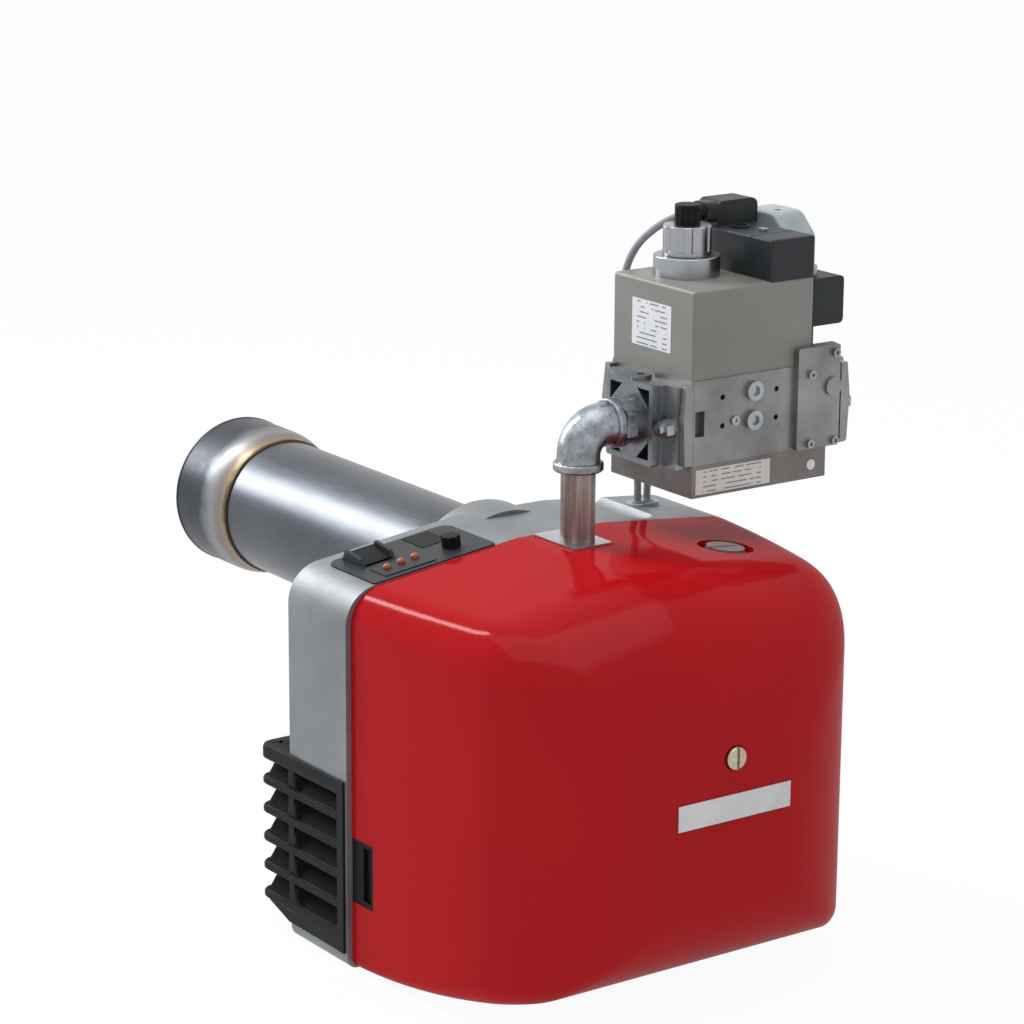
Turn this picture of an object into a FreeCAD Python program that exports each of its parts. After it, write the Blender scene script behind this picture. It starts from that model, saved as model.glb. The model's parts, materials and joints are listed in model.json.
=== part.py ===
import FreeCAD, Part
import math
import os

# Forced-draught gas burner with its valve block standing on the supply pipe.
# Millimetres. Origin: centre of the boiler flange face, on the blast tube axis.
# +Y runs into the boiler, +Z is up, +X is to the right of someone behind the burner.

os.makedirs("parts", exist_ok=True)
V = FreeCAD.Vector

# Blast tube and combustion head
TUBE_R = 58.0
TUBE_WALL = 2.0
TUBE_WELD_Y = 299.0
HEAD_R = 64.5
HEAD_SHOULDER = 28.0
HEAD_END_Y = 376.0
WELD_BEAD_R = 1.8

# Cast aluminium housing
BODY_HALF_W = 189.5
BODY_TOP_Z = 68.4
BODY_BOTTOM_Z = -252.0
BODY_FRONT_Y = -15.0
SEAM_Y = -99.0
BODY_WALL = 5.0
TOP_LEFT_EDGE_X = -33.0
TOP_RIGHT_EDGE_X = 50.0
TOP_LEFT_SLOPE = 0.128
TOP_RIGHT_Z = 54.0
TOP_EDGE_R = (30.0, 36.0)
FOOT_EDGE_R = (9.0, 20.0)
FRONT_EDGE_R = 3.0
VALLEY_AT_X = 97.0
VALLEY_R = 16.0
VALLEY_DEPTH = 8.0
VALLEY_START_Y = -80.0
CREST_R = 80.0
NECK_R = 72.0
NECK_DEPTH = 40.0
NECK_LEDGE = 5.0
NECK_LIP = 3.0
SPIGOT_GAP = 0.1
STUD_PCD = 129.0
STUD_HOLE_R = 3.4
STUD_HOLE_DEPTH = 20.0
STUD_COUNT = 4

# Red cover
COVER_REAR_Y = -331.0
COVER_WALL = 3.0
COVER_SEAM_GAP = 0.3
COVER_STEP = 4.5
LEFT_LEAN = 0.03
LEFT_BOW = 23.0
RIGHT_LEAN = 0.09
RIGHT_BOW = 33.0
FOOT_BOW = 39.0
SIDE_CURL_R = 86.0
FOOT_CURL_R = 54.0
TOP_CURL_R = 105.0
TOP_DROP = 98.0
REAR_TOP_R = (44.0, 44.0)
REAR_FOOT_R = (25.0, 14.0)
COVER_BANDS = 12
SLOT_W = 32.0
SLOT_END_Y = -151.0
COVER_SCREW_Z = -50.0
COVER_SCREW_R = 9.0
DISC_AT = (98.0, -192.0)
DISC_R = 15.0
DISC_RECESS = 2.4
DISC_NORMAL = V(0.105, -0.02, 0.994)
CLIP_X = (-BODY_HALF_W - 12.5, -BODY_HALF_W + 27.5)
CLIP_Y = (-127.0, -99.0)
CLIP_Z = (-196.5, -144.5)

# Air intake on the left wall
LOUVRE_Y = (-96.6, -14.6)
LOUVRE_Z = (-239.75, -100.2)
LOUVRE_REACH = 29.0
LOUVRE_FRAME = 8.0
BLADE_COUNT = 6
BLADE_PITCH = 23.6
BLADE_TOP_Z = -87.5
NOSE_R = 5.0
BLADE_RISE = 5.0

# Component plate on the front wall
PLATE_X = (BODY_HALF_W - 99.5, BODY_HALF_W - 12.5)
PLATE_STANDOFF = 60.0
PLATE_BOLTS_X = (PLATE_X[0] + 10.0, PLATE_X[1] - 11.0)
PLATE_BOLTS_Z = (-215.0, -40.0)

# Fan, scroll and motor: one shaft across the burner
FAN_Y = -100.0
FAN_Z = -150.0
FAN_R = 62.0
FAN_EYE_R = 48.0
FAN_X = (-94.0, -36.0)
FAN_BLADES = 30
BLADE_SHEET = 1.4
SCROLL_X = (-102.0, -28.0)
SCROLL_R_SMALL = FAN_R + 10.0
SCROLL_R_LARGE = FAN_R + 16.0
SCROLL_WALL = 3.0
SCROLL_TOP_Z = -75.0
MOTOR_END_X = PLATE_X[0] - 10.0
ROTOR_X = (SCROLL_X[1] + 30.0, MOTOR_END_X - 22.0)
SHAFT_R = 6.0
SHAFT_GAP = 0.05
MOTOR_R = 48.0
ROTOR_R = 28.0
ROTOR_GAP = 1.0

# Air duct between fan and blast tube
DUCT_X = (-104.0, PLATE_X[0] - 18.0)
DUCT_WALL = 3.0

# Intake box and damper
INTAKE_X = (-BODY_HALF_W + 20.5, SCROLL_X[0] - 0.3)
INTAKE_Y = (-150.0, -21.0)
INTAKE_Z = (-232.0, -106.0)
INTAKE_WALL = 3.0
DAMPER_X = INTAKE_X[0] + 30.0
DAMPER_Y = -85.5
DAMPER_Z = -160.0
DAMPER_R = (INTAKE_X[1] - INTAKE_X[0]) / 2 - 7.35
DAMPER_GAP = 1.0
DAMPER_T = 1.5

# Gas path
PIPE_R = 13.45
PIPE_BORE_R = 10.8
PIPE_Y = -133.0
PIPE_FOOT_Z = 24.0
ELBOW_AXIS_Z = 158.0
ELBOW_LEG = 33.0
ELBOW_TURN_R = 21.0
ELBOW_SOCKET = 12.0
ELBOW_R = 16.8
BEAD_R = 19.5
BEAD_L = 7.0
GAS_FIT = 0.05
HEAD_TRAVEL = 15.0
NOZZLE_Y = (318.0, 352.0)
NOZZLE_R = 23.0
DIFFUSER_R = 48.0

# Valve block
VALVE_X = (69.5, 216.5)
VALVE_Y = (-185.0, -81.0)
BASE_X1 = 203.3
BASE_Z = 103.0
SEAM_Z = 128.75
BLOCK_TOP_Z = 194.75
COIL_TOP_Z = 263.75
COIL_X1 = 186.8
FLANGE_T = 21.5
FLANGE_HALF_Y = 29.0
FLANGE_HALF_Z = 32.0
LUG_HALF_Y = 45.7
FLANGE_BOLT_Y = 39.5
LUG_T = 11.0
INLET_THREAD_R = 12.06
INLET_THREAD_L = 16.0
PORT_R = 11.0
BRAKE_AT = (109.0, -123.0)
BRAKE_DISC = (26.0, 16.0)
FLOW_RING = (19.0, 23.0)
BRAKE_CAP = (10.0, 15.5)
LIFT = 0.3

# Control panel on the sloping left of the housing top
PANEL_X = (-BODY_HALF_W + 25.5, -BODY_HALF_W + 137.5)
PANEL_Y = (-98.4, -30.0)
PANEL_T = 3.0
PANEL_SINK = 1.8
SWITCH_X = (PANEL_X[0] + 12.0, PANEL_X[0] + 42.0)
SWITCH_Y = (-64.0, -36.0)
RESET_X = (PANEL_X[0] + 68.0, PANEL_X[0] + 92.0)
RESET_Y = (-62.0, -33.0)
RESET_TRAVEL = 2.0
KNOB_AT = (PANEL_X[0] + 85.0, -77.0)
KNOB_R = 7.5
LAMPS_AT = ((PANEL_X[0] + 24.0, -79.5), (PANEL_X[0] + 38.0, -78.0), (PANEL_X[0] + 51.0, -77.0))
LAMP_R = 3.4

# Two leads from the valve to the housing
LEAD_R = 3.0
LEAD_A = (
    (133.0, -101.0, 306.0), (129.0, -101.0, 306.0), (121.0, -100.4, 305.3), (113.4, -98.7, 303.3),
    (106.6, -96.0, 300.0), (100.9, -92.3, 295.6), (96.6, -88.0, 290.3), (93.9, -83.1, 284.5),
    (93.0, -78.0, 278.3), (93.1, -71.4, 269.6), (93.4, -66.4, 260.6), (94.0, -63.4, 250.0),
    (95.2, -62.0, 236.0), (98.0, -61.4, 210.0), (102.6, -60.8, 178.0), (108.6, -58.8, 144.0),
    (114.6, -55.0, 114.0), (119.8, -50.6, 90.0), (122.3, -48.3, 76.0), (122.5, -47.9, 64.0),
)
LEAD_B = (
    (207.0, -78.0, 285.0), (206.9, -67.8, 283.8), (206.8, -59.0, 280.1), (206.5, -51.4, 274.3),
    (206.1, -45.6, 266.8), (205.5, -41.9, 257.9), (204.9, -40.7, 248.5), (202.0, -40.4, 230.0),
    (194.2, -40.8, 208.0), (182.0, -41.4, 185.0), (167.4, -42.0, 160.0), (153.4, -43.2, 135.0),
    (142.0, -45.2, 111.0), (134.5, -47.0, 90.0), (132.0, -47.6, 76.0), (132.0, -47.8, 64.0),
)


def box(x, y, z):
    """Block between (low, high) pairs along the three axes."""
    return Part.makeBox(x[1] - x[0], y[1] - y[0], z[1] - z[0], V(x[0], y[0], z[0]))


def rod(axis, r, at, length):
    """Cylinder of radius r along axis from the point at."""
    way = {"X": V(1, 0, 0), "Y": V(0, 1, 0), "Z": V(0, 0, 1)}[axis]
    return Part.makeCylinder(r, length, V(*at), way)


def ring(axis, r_out, r_in, at, length):
    """Round sleeve along axis."""
    return rod(axis, r_out, at, length).cut(rod(axis, r_in, at, length))


def polygon_prism(points, lift):
    """Prism over a closed polygon of 3-D points, carried along the vector lift."""
    wire = Part.makePolygon([V(*p) for p in points] + [V(*points[0])])
    return Part.Face(wire).extrude(V(*lift))


def rounded_wire(corners, radii, place):
    """Closed outline through 2-D corners, each rounded with its own radius."""
    count = len(corners)
    edges = []
    joints = []
    for i in range(count):
        here = V(corners[i][0], corners[i][1], 0)
        before = V(corners[i - 1][0], corners[i - 1][1], 0) - here
        after = V(corners[(i + 1) % count][0], corners[(i + 1) % count][1], 0) - here
        half = before.getAngle(after) / 2
        reach = radii[i] / math.tan(half)
        before.normalize()
        after.normalize()
        middle = before + after
        middle.normalize()
        dip = radii[i] / math.sin(half) - radii[i]
        joints.append((here + before * reach, here + middle * dip, here + after * reach))
    for i in range(count):
        start, mid, end = [place(p.x, p.y) for p in joints[i]]
        following = place(joints[(i + 1) % count][0].x, joints[(i + 1) % count][0].y)
        edges.append(Part.Arc(start, mid, end).toShape())
        edges.append(Part.LineSegment(end, following).toShape())
    return Part.Wire(edges)


def round_edges(shape, radius, wanted):
    """Fillet the edges that the test picks out."""
    return shape.makeFillet(radius, [e for e in shape.Edges if wanted(e)])


def upright(edge):
    """True for a straight edge along Z."""
    box_of = edge.BoundBox
    return box_of.ZLength > 1 and box_of.XLength < 0.01 and box_of.YLength < 0.01


def along_y(edge):
    """True for a straight edge along Y."""
    box_of = edge.BoundBox
    return box_of.YLength > 1 and box_of.XLength < 0.01 and box_of.ZLength < 0.01


def along_x(edge):
    """True for a straight edge along X."""
    box_of = edge.BoundBox
    return box_of.XLength > 1 and box_of.YLength < 0.01 and box_of.ZLength < 0.01


def hexagon(axis, across, at, length):
    """Hexagonal prism, across its flats, along X or Z."""
    r = across / math.sqrt(3)
    points = []
    for i in range(6):
        a = math.radians(60 * i + 30)
        if axis == "X":
            points.append((at[0], at[1] + r * math.cos(a), at[2] + r * math.sin(a)))
        elif axis == "Y":
            points.append((at[0] + r * math.cos(a), at[1], at[2] + r * math.sin(a)))
        else:
            points.append((at[0] + r * math.cos(a), at[1] + r * math.sin(a), at[2]))
    lift = {"X": (length, 0, 0), "Y": (0, length, 0), "Z": (0, 0, length)}[axis]
    return polygon_prism(points, lift)


def socket_screw(axis, r_head, head, r_shank, shank, at, sign):
    """Cap screw with a hexagon socket; its head stands on the plane at, pointing along sign."""
    way = {"X": V(1, 0, 0), "Y": V(0, 1, 0), "Z": V(0, 0, 1)}[axis] * sign
    foot = V(*at)
    screw = Part.makeCylinder(r_head, head, foot, way)
    screw = screw.fuse(Part.makeCylinder(r_shank, shank, foot - way * shank, way))
    deep = head * 0.6
    start = foot + way * (head - deep)
    if sign < 0:
        start = foot + way * head
    return screw.cut(hexagon(axis, r_head, (start.x, start.y, start.z), deep)).removeSplitter()


def top_z(x, drop=0.0):
    """Height of the housing top above x, before its corners are rounded."""
    if x < TOP_LEFT_EDGE_X:
        return BODY_TOP_Z + TOP_LEFT_SLOPE * (x - TOP_LEFT_EDGE_X) - drop
    if x < TOP_RIGHT_EDGE_X:
        return BODY_TOP_Z - drop
    fall = (BODY_TOP_Z - TOP_RIGHT_Z) / (BODY_HALF_W - TOP_RIGHT_EDGE_X)
    return BODY_TOP_Z - fall * (x - TOP_RIGHT_EDGE_X) - drop


def housing_outline(y, left=0.0, right=0.0, drop=0.0, rise=0.0, top_r=TOP_EDGE_R, foot_r=FOOT_EDGE_R):
    """Outline of the housing and of the cover in the plane y, pulled in at its sides, top and bottom."""
    low_x = left - BODY_HALF_W
    high_x = BODY_HALF_W - right
    left_edge = -TOP_LEFT_EDGE_X / BODY_HALF_W * low_x
    right_edge = TOP_RIGHT_EDGE_X / BODY_HALF_W * high_x
    corners = [
        (low_x, BODY_BOTTOM_Z + rise), (low_x, top_z(-BODY_HALF_W, drop)), (left_edge, BODY_TOP_Z - drop),
        (right_edge, BODY_TOP_Z - drop), (high_x, TOP_RIGHT_Z - drop), (high_x, BODY_BOTTOM_Z + rise),
    ]
    crest_left = -CREST_R / BODY_HALF_W * low_x
    crest_right = CREST_R / BODY_HALF_W * high_x
    radii = [foot_r[0], top_r[0], crest_left, crest_right, top_r[1], foot_r[1]]
    return rounded_wire(corners, radii, lambda a, b: V(a, y, b))


def curl(t, floor, radius):
    """How far a wall has turned in at depth t, on a quarter round that ends at floor."""
    over = min(max(0.0, t - (floor - radius)), radius)
    return radius - math.sqrt(radius ** 2 - over ** 2)


def cover_ring(t, floor, inset):
    """Outline of the cover at depth t behind the seam, inset by its wall for the hollow."""
    share = t / floor
    side_curl = curl(t, floor, SIDE_CURL_R - inset)
    left = COVER_STEP + LEFT_LEAN * t + LEFT_BOW * share ** 2 + side_curl + inset
    right = RIGHT_LEAN * t + RIGHT_BOW * share ** 2 + side_curl + inset
    rise = FOOT_BOW * share ** 2 + curl(t, floor, FOOT_CURL_R - inset) + inset
    top_r = TOP_CURL_R - inset
    drop = (TOP_DROP - inset) * curl(t, floor, top_r) / top_r + inset
    top_radii = [a + (b - a) * share - inset * 0.6 for a, b in zip(TOP_EDGE_R, REAR_TOP_R)]
    foot_radii = [a + (b - a) * share - inset * 0.6 for a, b in zip(FOOT_EDGE_R, REAR_FOOT_R)]
    return housing_outline(SEAM_Y - COVER_SEAM_GAP - t, left, right, drop, rise, top_radii, foot_radii)


def cover_skin(inset):
    """Solid of the cover's outer form, or of its hollow when inset by the wall."""
    floor = SEAM_Y - COVER_SEAM_GAP - COVER_REAR_Y - inset
    top_r = TOP_CURL_R - inset
    straight = floor - top_r
    depths = [straight * i / 4 for i in range(4)]
    depths += [straight + top_r * math.sin(math.pi / 2 * i / COVER_BANDS) for i in range(COVER_BANDS + 1)]
    return Part.makeLoft([cover_ring(t, floor, inset) for t in depths], True, True)


def burner_cover():
    """Pressed cover: one rounded shell, open towards the housing, slotted for the gas pipe."""
    shell = cover_skin(0.0).cut(cover_skin(COVER_WALL))
    slot = box((-SLOT_W / 2, SLOT_W / 2), (SLOT_END_Y + SLOT_W / 2, SEAM_Y + 5), (40, 90))
    slot = slot.fuse(rod("Z", SLOT_W / 2, (0, SLOT_END_Y + SLOT_W / 2, 40), 50))
    shell = shell.cut(slot)
    shell = shell.cut(rod("Y", COVER_SCREW_R + 0.6, (0, COVER_REAR_Y - 5, COVER_SCREW_Z), 20))
    shell = shell.cut(box(CLIP_X, CLIP_Y, CLIP_Z))
    shell = shell.fuse(disc_seat(DISC_R + 10, COVER_WALL, -1.2 - COVER_WALL))
    shell = shell.cut(disc_seat(DISC_R + 7, 30.0, -1.2))
    return shell.cut(disc_seat(DISC_R + 0.6, 40.0, -20.0))


def disc_seat(radius, length, start):
    """Round prism square to the cover's sloping top right, under the turn fastener."""
    x, y = DISC_AT
    centre = V(x, y, top_z(x) - DISC_RECESS)
    return Part.makeCylinder(radius, length, centre + DISC_NORMAL * start, DISC_NORMAL)


def cover_disc():
    """Quarter-turn fastener: slotted round head on a stem."""
    head = disc_seat(DISC_R, 3.0, -1.0)
    x, y = DISC_AT
    stem = disc_seat(5.0, 14.0, -15.0)
    face = top_z(x) - DISC_RECESS
    slot = box((x - DISC_R, x + DISC_R), (y - 1.5, y + 1.5), (face + 0.6, face + 8))
    return head.fuse(stem).cut(slot).removeSplitter()


def cover_screw():
    """Slotted round-head screw through the rear of the cover."""
    face = COVER_REAR_Y
    head = rod("Y", COVER_SCREW_R, (0, face - 3.5, COVER_SCREW_Z), 8.5)
    head = round_edges(head, 2.5, lambda e: abs(e.BoundBox.YMin - face + 3.5) < 0.01 and e.BoundBox.YLength < 0.01)
    stem = rod("Y", 3.0, (0, face + 5.0, COVER_SCREW_Z), 22)
    slot = box((-1.2, 1.2), (face - 4, face - 1.5), (COVER_SCREW_Z - 10, COVER_SCREW_Z + 10))
    return head.fuse(stem).cut(slot).removeSplitter()


def cover_bracket():
    """Strap from the motor scroll to the nut plate that the rear screw threads into."""
    nut_y = COVER_REAR_Y + 20.0
    plate = box((-12, 12), (nut_y, nut_y + 3), (COVER_SCREW_Z - 12, COVER_SCREW_Z + 12))
    plate = plate.cut(rod("Y", 3.05, (0, nut_y - 1, COVER_SCREW_Z), 5))
    arm = box((-12, 12), (nut_y, SEAM_Y - DUCT_WALL), (COVER_SCREW_Z + 12, COVER_SCREW_Z + 15))
    foot = box((-12, 12), (SEAM_Y - 2 * DUCT_WALL, SEAM_Y - DUCT_WALL), (COVER_SCREW_Z, COVER_SCREW_Z + 15))
    return plate.fuse([arm, foot]).removeSplitter()


def side_clip():
    """Black moulded clip let into the cover's edge, with a finger pocket."""
    form = cover_skin(0.6).cut(cover_skin(COVER_WALL + 5.0))
    y = (CLIP_Y[0] + 0.2, CLIP_Y[1] - 0.5)
    z = (CLIP_Z[0] + 0.2, CLIP_Z[1] - 0.2)
    clip = form.common(box(CLIP_X, y, z))
    pocket = box((CLIP_X[0], -BODY_HALF_W + 9.0), (y[0] + 3, y[1] - 14), (z[0] + 4, z[1] - 4))
    return clip.cut(pocket)


def pipe_plate():
    """Sheet collar lying on the cover round the gas pipe."""
    z = BODY_TOP_Z + 0.3
    plate = box((-18.5, 18.5), (-153.4, -100.6), (z, z + 1.2))
    plate = round_edges(plate, 2.0, upright)
    return plate.cut(rod("Z", PIPE_R + 0.1, (0, PIPE_Y, z - 1), 4))


def burner_body():
    """Cast housing: rounded shell open at the rear, with the neck that holds the blast tube."""
    depth = BODY_FRONT_Y - SEAM_Y
    outer = Part.Face(housing_outline(SEAM_Y)).extrude(V(0, depth, 0))
    front = [e for e in outer.Edges if e.BoundBox.YMin > BODY_FRONT_Y - 0.01]
    outer = outer.makeFillet(FRONT_EDGE_R, front)
    top_r = [r - BODY_WALL for r in TOP_EDGE_R]
    foot_r = [r - BODY_WALL for r in FOOT_EDGE_R]
    inner_wire = housing_outline(SEAM_Y - 1, BODY_WALL, BODY_WALL, BODY_WALL, BODY_WALL, top_r, foot_r)
    hollow = Part.Face(inner_wire).extrude(V(0, depth + 1 - BODY_WALL, 0))
    body = outer.cut(hollow)
    body = body.fuse(valley(VALLEY_R + BODY_WALL).common(outer)).cut(valley(VALLEY_R))
    neck = rod("Y", NECK_R, (0, -NECK_DEPTH, 0), NECK_DEPTH)
    body = body.fuse(neck)
    body = body.fuse(duct_ribs())
    body = body.fuse(plate_posts())
    body = body.cut(rod("Y", TUBE_R + SPIGOT_GAP, (0, NECK_LEDGE - NECK_DEPTH, 0), NECK_DEPTH))
    body = body.cut(rod("Y", TUBE_R - NECK_LIP, (0, -NECK_DEPTH - 1, 0), NECK_DEPTH))
    for i in range(STUD_COUNT):
        a = math.radians(45 + 360.0 * i / STUD_COUNT)
        at = (STUD_PCD / 2 * math.cos(a), -STUD_HOLE_DEPTH, STUD_PCD / 2 * math.sin(a))
        body = body.cut(rod("Y", STUD_HOLE_R, at, STUD_HOLE_DEPTH + 1))
    window = box((-BODY_HALF_W - 12, -BODY_HALF_W + BODY_WALL + 1), (LOUVRE_Y[0] + 4, -22), (LOUVRE_Z[0] + 4, LOUVRE_Z[1] - 4))
    body = body.cut(window)
    body = body.cut(tilt(panel_blank(0.2)))
    body = body.cut(tilt(box((PANEL_X[0] + 6, PANEL_X[0] + 64), (-92, -36), (50, 70))))
    x = (RESET_X[0] - 0.6, RESET_X[1] + 0.6)
    y = (RESET_Y[0] - 0.6, RESET_Y[1] + 0.6)
    body = body.cut(tilt(box(x, y, (BODY_TOP_Z - PANEL_SINK - RESET_TRAVEL - 0.5, BODY_TOP_Z + 5))))
    for at in (LEAD_A[-1], LEAD_B[-1]):
        body = body.cut(rod("Z", 5.0, (at[0], at[1], 40), 40))
    return body.removeSplitter()


def valley(radius):
    """Round bar of the shallow valley beside the dome of the housing's top."""
    z = top_z(VALLEY_AT_X) + VALLEY_R - VALLEY_DEPTH
    length = BODY_FRONT_Y - VALLEY_START_Y + 1
    bar = rod("Y", radius, (VALLEY_AT_X, VALLEY_START_Y, z), length)
    return bar.fuse(Part.makeSphere(radius, V(VALLEY_AT_X, VALLEY_START_Y, z)))


def duct_ribs():
    """Inner ribs that box in the air path from the scroll's mouth to the neck."""
    y = (SEAM_Y + DUCT_WALL, BODY_FRONT_Y - BODY_WALL)
    left = box((DUCT_X[0] - DUCT_WALL, DUCT_X[0]), y, (SCROLL_TOP_Z, top_z(DUCT_X[0]) - BODY_WALL + 1))
    right = box((DUCT_X[1], DUCT_X[1] + DUCT_WALL), y, (SCROLL_TOP_Z, top_z(DUCT_X[1]) - BODY_WALL + 1))
    floor = box((SCROLL_X[1], DUCT_X[1]), y, (SCROLL_TOP_Z, SCROLL_TOP_Z + DUCT_WALL))
    return left.fuse([right, floor])


def plate_posts():
    """Posts on the front wall that carry the component plate."""
    posts = [rod("Y", 6, (x, -PLATE_STANDOFF, z), PLATE_STANDOFF - 18) for x in PLATE_BOLTS_X for z in PLATE_BOLTS_Z]
    return posts[0].fuse(posts[1:])


def component_plate():
    """Sheet plate behind the posts, for the electrical parts."""
    plate = box(PLATE_X, (-PLATE_STANDOFF - 2, -PLATE_STANDOFF), (-228, 40))
    plate = round_edges(plate, 6.0, along_y)
    return plate


def component_screws():
    """Screws that hold the component plate to its posts."""
    screws = []
    for x in PLATE_BOLTS_X:
        for z in PLATE_BOLTS_Z:
            screws.append(rod("Y", 4.5, (x, -PLATE_STANDOFF - 5, z), 3))
    return screws


def blast_tube():
    """Plain steel tube between the housing and the head cap."""
    start = NECK_LEDGE - NECK_DEPTH
    return ring("Y", TUBE_R, TUBE_R - TUBE_WALL, (0, start, 0), TUBE_WELD_Y - start)


def head_cap():
    """Widened end of the blast tube with its weld bead and rolled lip."""
    w = TUBE_WALL
    y0 = TUBE_WELD_Y
    y1 = y0 + HEAD_SHOULDER
    y2 = HEAD_END_Y
    r0 = TUBE_R
    r1 = HEAD_R
    outer = [V(r0 - w, y0, 0), V(r0, y0, 0), V(r0 + 3.4, y0 + 13, 0), V(r1, y1, 0), V(r1, y2 - 3, 0)]
    rim = [V(r1 - w / 2, y2, 0), V(r1 - w, y2 - 3, 0)]
    inner = [V(r1 - w, y1, 0), V(r0 + 3.4 - w, y0 + 13.5, 0)]
    edges = [
        Part.LineSegment(outer[0], outer[1]).toShape(),
        Part.Arc(outer[1], V(r0 + 1.2, y0 + 6.5, 0), outer[2]).toShape(),
        Part.Arc(outer[2], V(r1 - 0.9, y1 - 8, 0), outer[3]).toShape(),
        Part.LineSegment(outer[3], outer[4]).toShape(),
        Part.Arc(outer[4], rim[0], rim[1]).toShape(),
        Part.LineSegment(rim[1], inner[0]).toShape(),
        Part.Arc(inner[0], V(r1 - 0.9 - w, y1 - 7.5, 0), inner[1]).toShape(),
        Part.Arc(inner[1], V(r0 + 1.2 - w, y0 + 7, 0), outer[0]).toShape(),
    ]
    cap = Part.Face(Part.Wire(edges)).revolve(V(0, 0, 0), V(0, 1, 0), 360)
    bead = Part.makeTorus(TUBE_R, WELD_BEAD_R, V(0, y0 + WELD_BEAD_R, 0), V(0, 1, 0))
    bead = bead.cut(rod("Y", TUBE_R, (0, y0 - 3, 0), 8))
    return cap.fuse(bead).removeSplitter()


def louvre_blade(z):
    """Weather blade with its nose at height z: it slopes down from the wall, ends in a rounded nose,
    and runs back into the wall towards the rear."""
    x0 = -BODY_HALF_W
    tip_y = LOUVRE_Y[1] - 0.2
    run = tip_y - LOUVRE_Y[0] - LOUVRE_FRAME
    nose_x = x0 - LOUVRE_REACH + NOSE_R
    lean = BLADE_RISE / LOUVRE_REACH
    inner_x = x0 + LOUVRE_REACH
    slope = [
        (inner_x, tip_y, z + NOSE_R + lean * (inner_x - nose_x)), (nose_x - NOSE_R, tip_y, z + NOSE_R - lean * NOSE_R),
        (nose_x - NOSE_R, tip_y, z - NOSE_R), (nose_x, tip_y, z - NOSE_R),
        (inner_x, tip_y, z - NOSE_R + lean * (inner_x - nose_x)),
    ]
    slab = polygon_prism(slope, (LOUVRE_REACH, -run, 0))
    nose = slab.makeFillet(NOSE_R * 0.7, [e for e in slab.Edges if nose_edge(e, nose_x - NOSE_R)])
    plan = rounded_wire(
        [(x0, LOUVRE_Y[0] + LOUVRE_FRAME), (x0 - LOUVRE_REACH, tip_y - 8), (x0 - LOUVRE_REACH + 8, tip_y), (x0, tip_y)],
        [0.5, 3.0, 4.0, 0.5], lambda a, b: V(a, b, z - 40))
    return nose.common(Part.Face(plan).extrude(V(0, 0, 80)))


def nose_edge(edge, low_x):
    """True for the two long edges at a blade's outer end."""
    box_of = edge.BoundBox
    return box_of.YLength > 20 and abs(box_of.XMin - low_x) < 0.01


def air_louvre():
    """Moulded air inlet: frame let into the wall and a stack of finned blades."""
    x0 = -BODY_HALF_W
    y = (LOUVRE_Y[0], LOUVRE_Y[1] - 0.2)
    frame = box((x0 - 2, x0), y, (LOUVRE_Z[0], BLADE_TOP_Z + NOSE_R + BLADE_RISE))
    mouth = box((x0 - 5, x0 + 5), (y[0] + LOUVRE_FRAME, y[1] - LOUVRE_FRAME), (LOUVRE_Z[0] + 6, LOUVRE_Z[1] - 4))
    frame = frame.cut(mouth)
    back = box((x0, x0 + BODY_WALL), (LOUVRE_Y[0] + 4.3, -22.3), (LOUVRE_Z[0] + 4.3, LOUVRE_Z[1] - 4.3))
    back = back.cut(box((x0 - 1, x0 + 9), (y[0] + LOUVRE_FRAME, -26), (LOUVRE_Z[0] + 7.5, LOUVRE_Z[1] - 8)))
    louvre = frame.fuse(back)
    for i in range(BLADE_COUNT):
        nose_z = BLADE_TOP_Z - BLADE_PITCH * i
        louvre = louvre.fuse(louvre_blade(nose_z))
        if i > 0:
            slat = box((x0 - 1, x0 + BODY_WALL), (LOUVRE_Y[0] + 5, -22.3), (nose_z + 1, nose_z + 4))
            louvre = louvre.fuse(slat)
    return louvre.removeSplitter()


def fan_wheel():
    """Forward-curved wheel: back disc, hub, ring of curved blades and front ring."""
    x0, x1 = FAN_X
    hub = ring("X", 13, SHAFT_R, (x1 - 26, FAN_Y, FAN_Z), 28)
    disc = ring("X", FAN_R, SHAFT_R, (x1, FAN_Y, FAN_Z), 2)
    front = ring("X", FAN_R, FAN_EYE_R + 2, (x0, FAN_Y, FAN_Z), 2)
    mid_r = (FAN_R + FAN_EYE_R) / 2
    blades = []
    for i in range(FAN_BLADES):
        a = 360.0 * i / FAN_BLADES
        pts = [(FAN_EYE_R, 0.0), (mid_r, 1.6), (FAN_R - 0.5, 6.0)]
        thick = [(FAN_R - 0.5, 6.0 + BLADE_SHEET), (mid_r, 1.6 + BLADE_SHEET), (FAN_EYE_R, BLADE_SHEET)]
        p = [V(x0 + 1, r, s) for r, s in pts]
        q = [V(x0 + 1, r, s) for r, s in thick]
        edges = [
            Part.Arc(p[0], p[1], p[2]).toShape(), Part.LineSegment(p[2], q[0]).toShape(),
            Part.Arc(q[0], q[1], q[2]).toShape(), Part.LineSegment(q[2], p[0]).toShape(),
        ]
        blade = Part.Face(Part.Wire(edges)).extrude(V(x1 - x0, 0, 0))
        blade.rotate(V(0, 0, 0), V(1, 0, 0), a)
        blade.translate(V(0, FAN_Y, FAN_Z))
        blades.append(blade)
    return disc.fuse([hub, front] + blades).removeSplitter()


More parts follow.
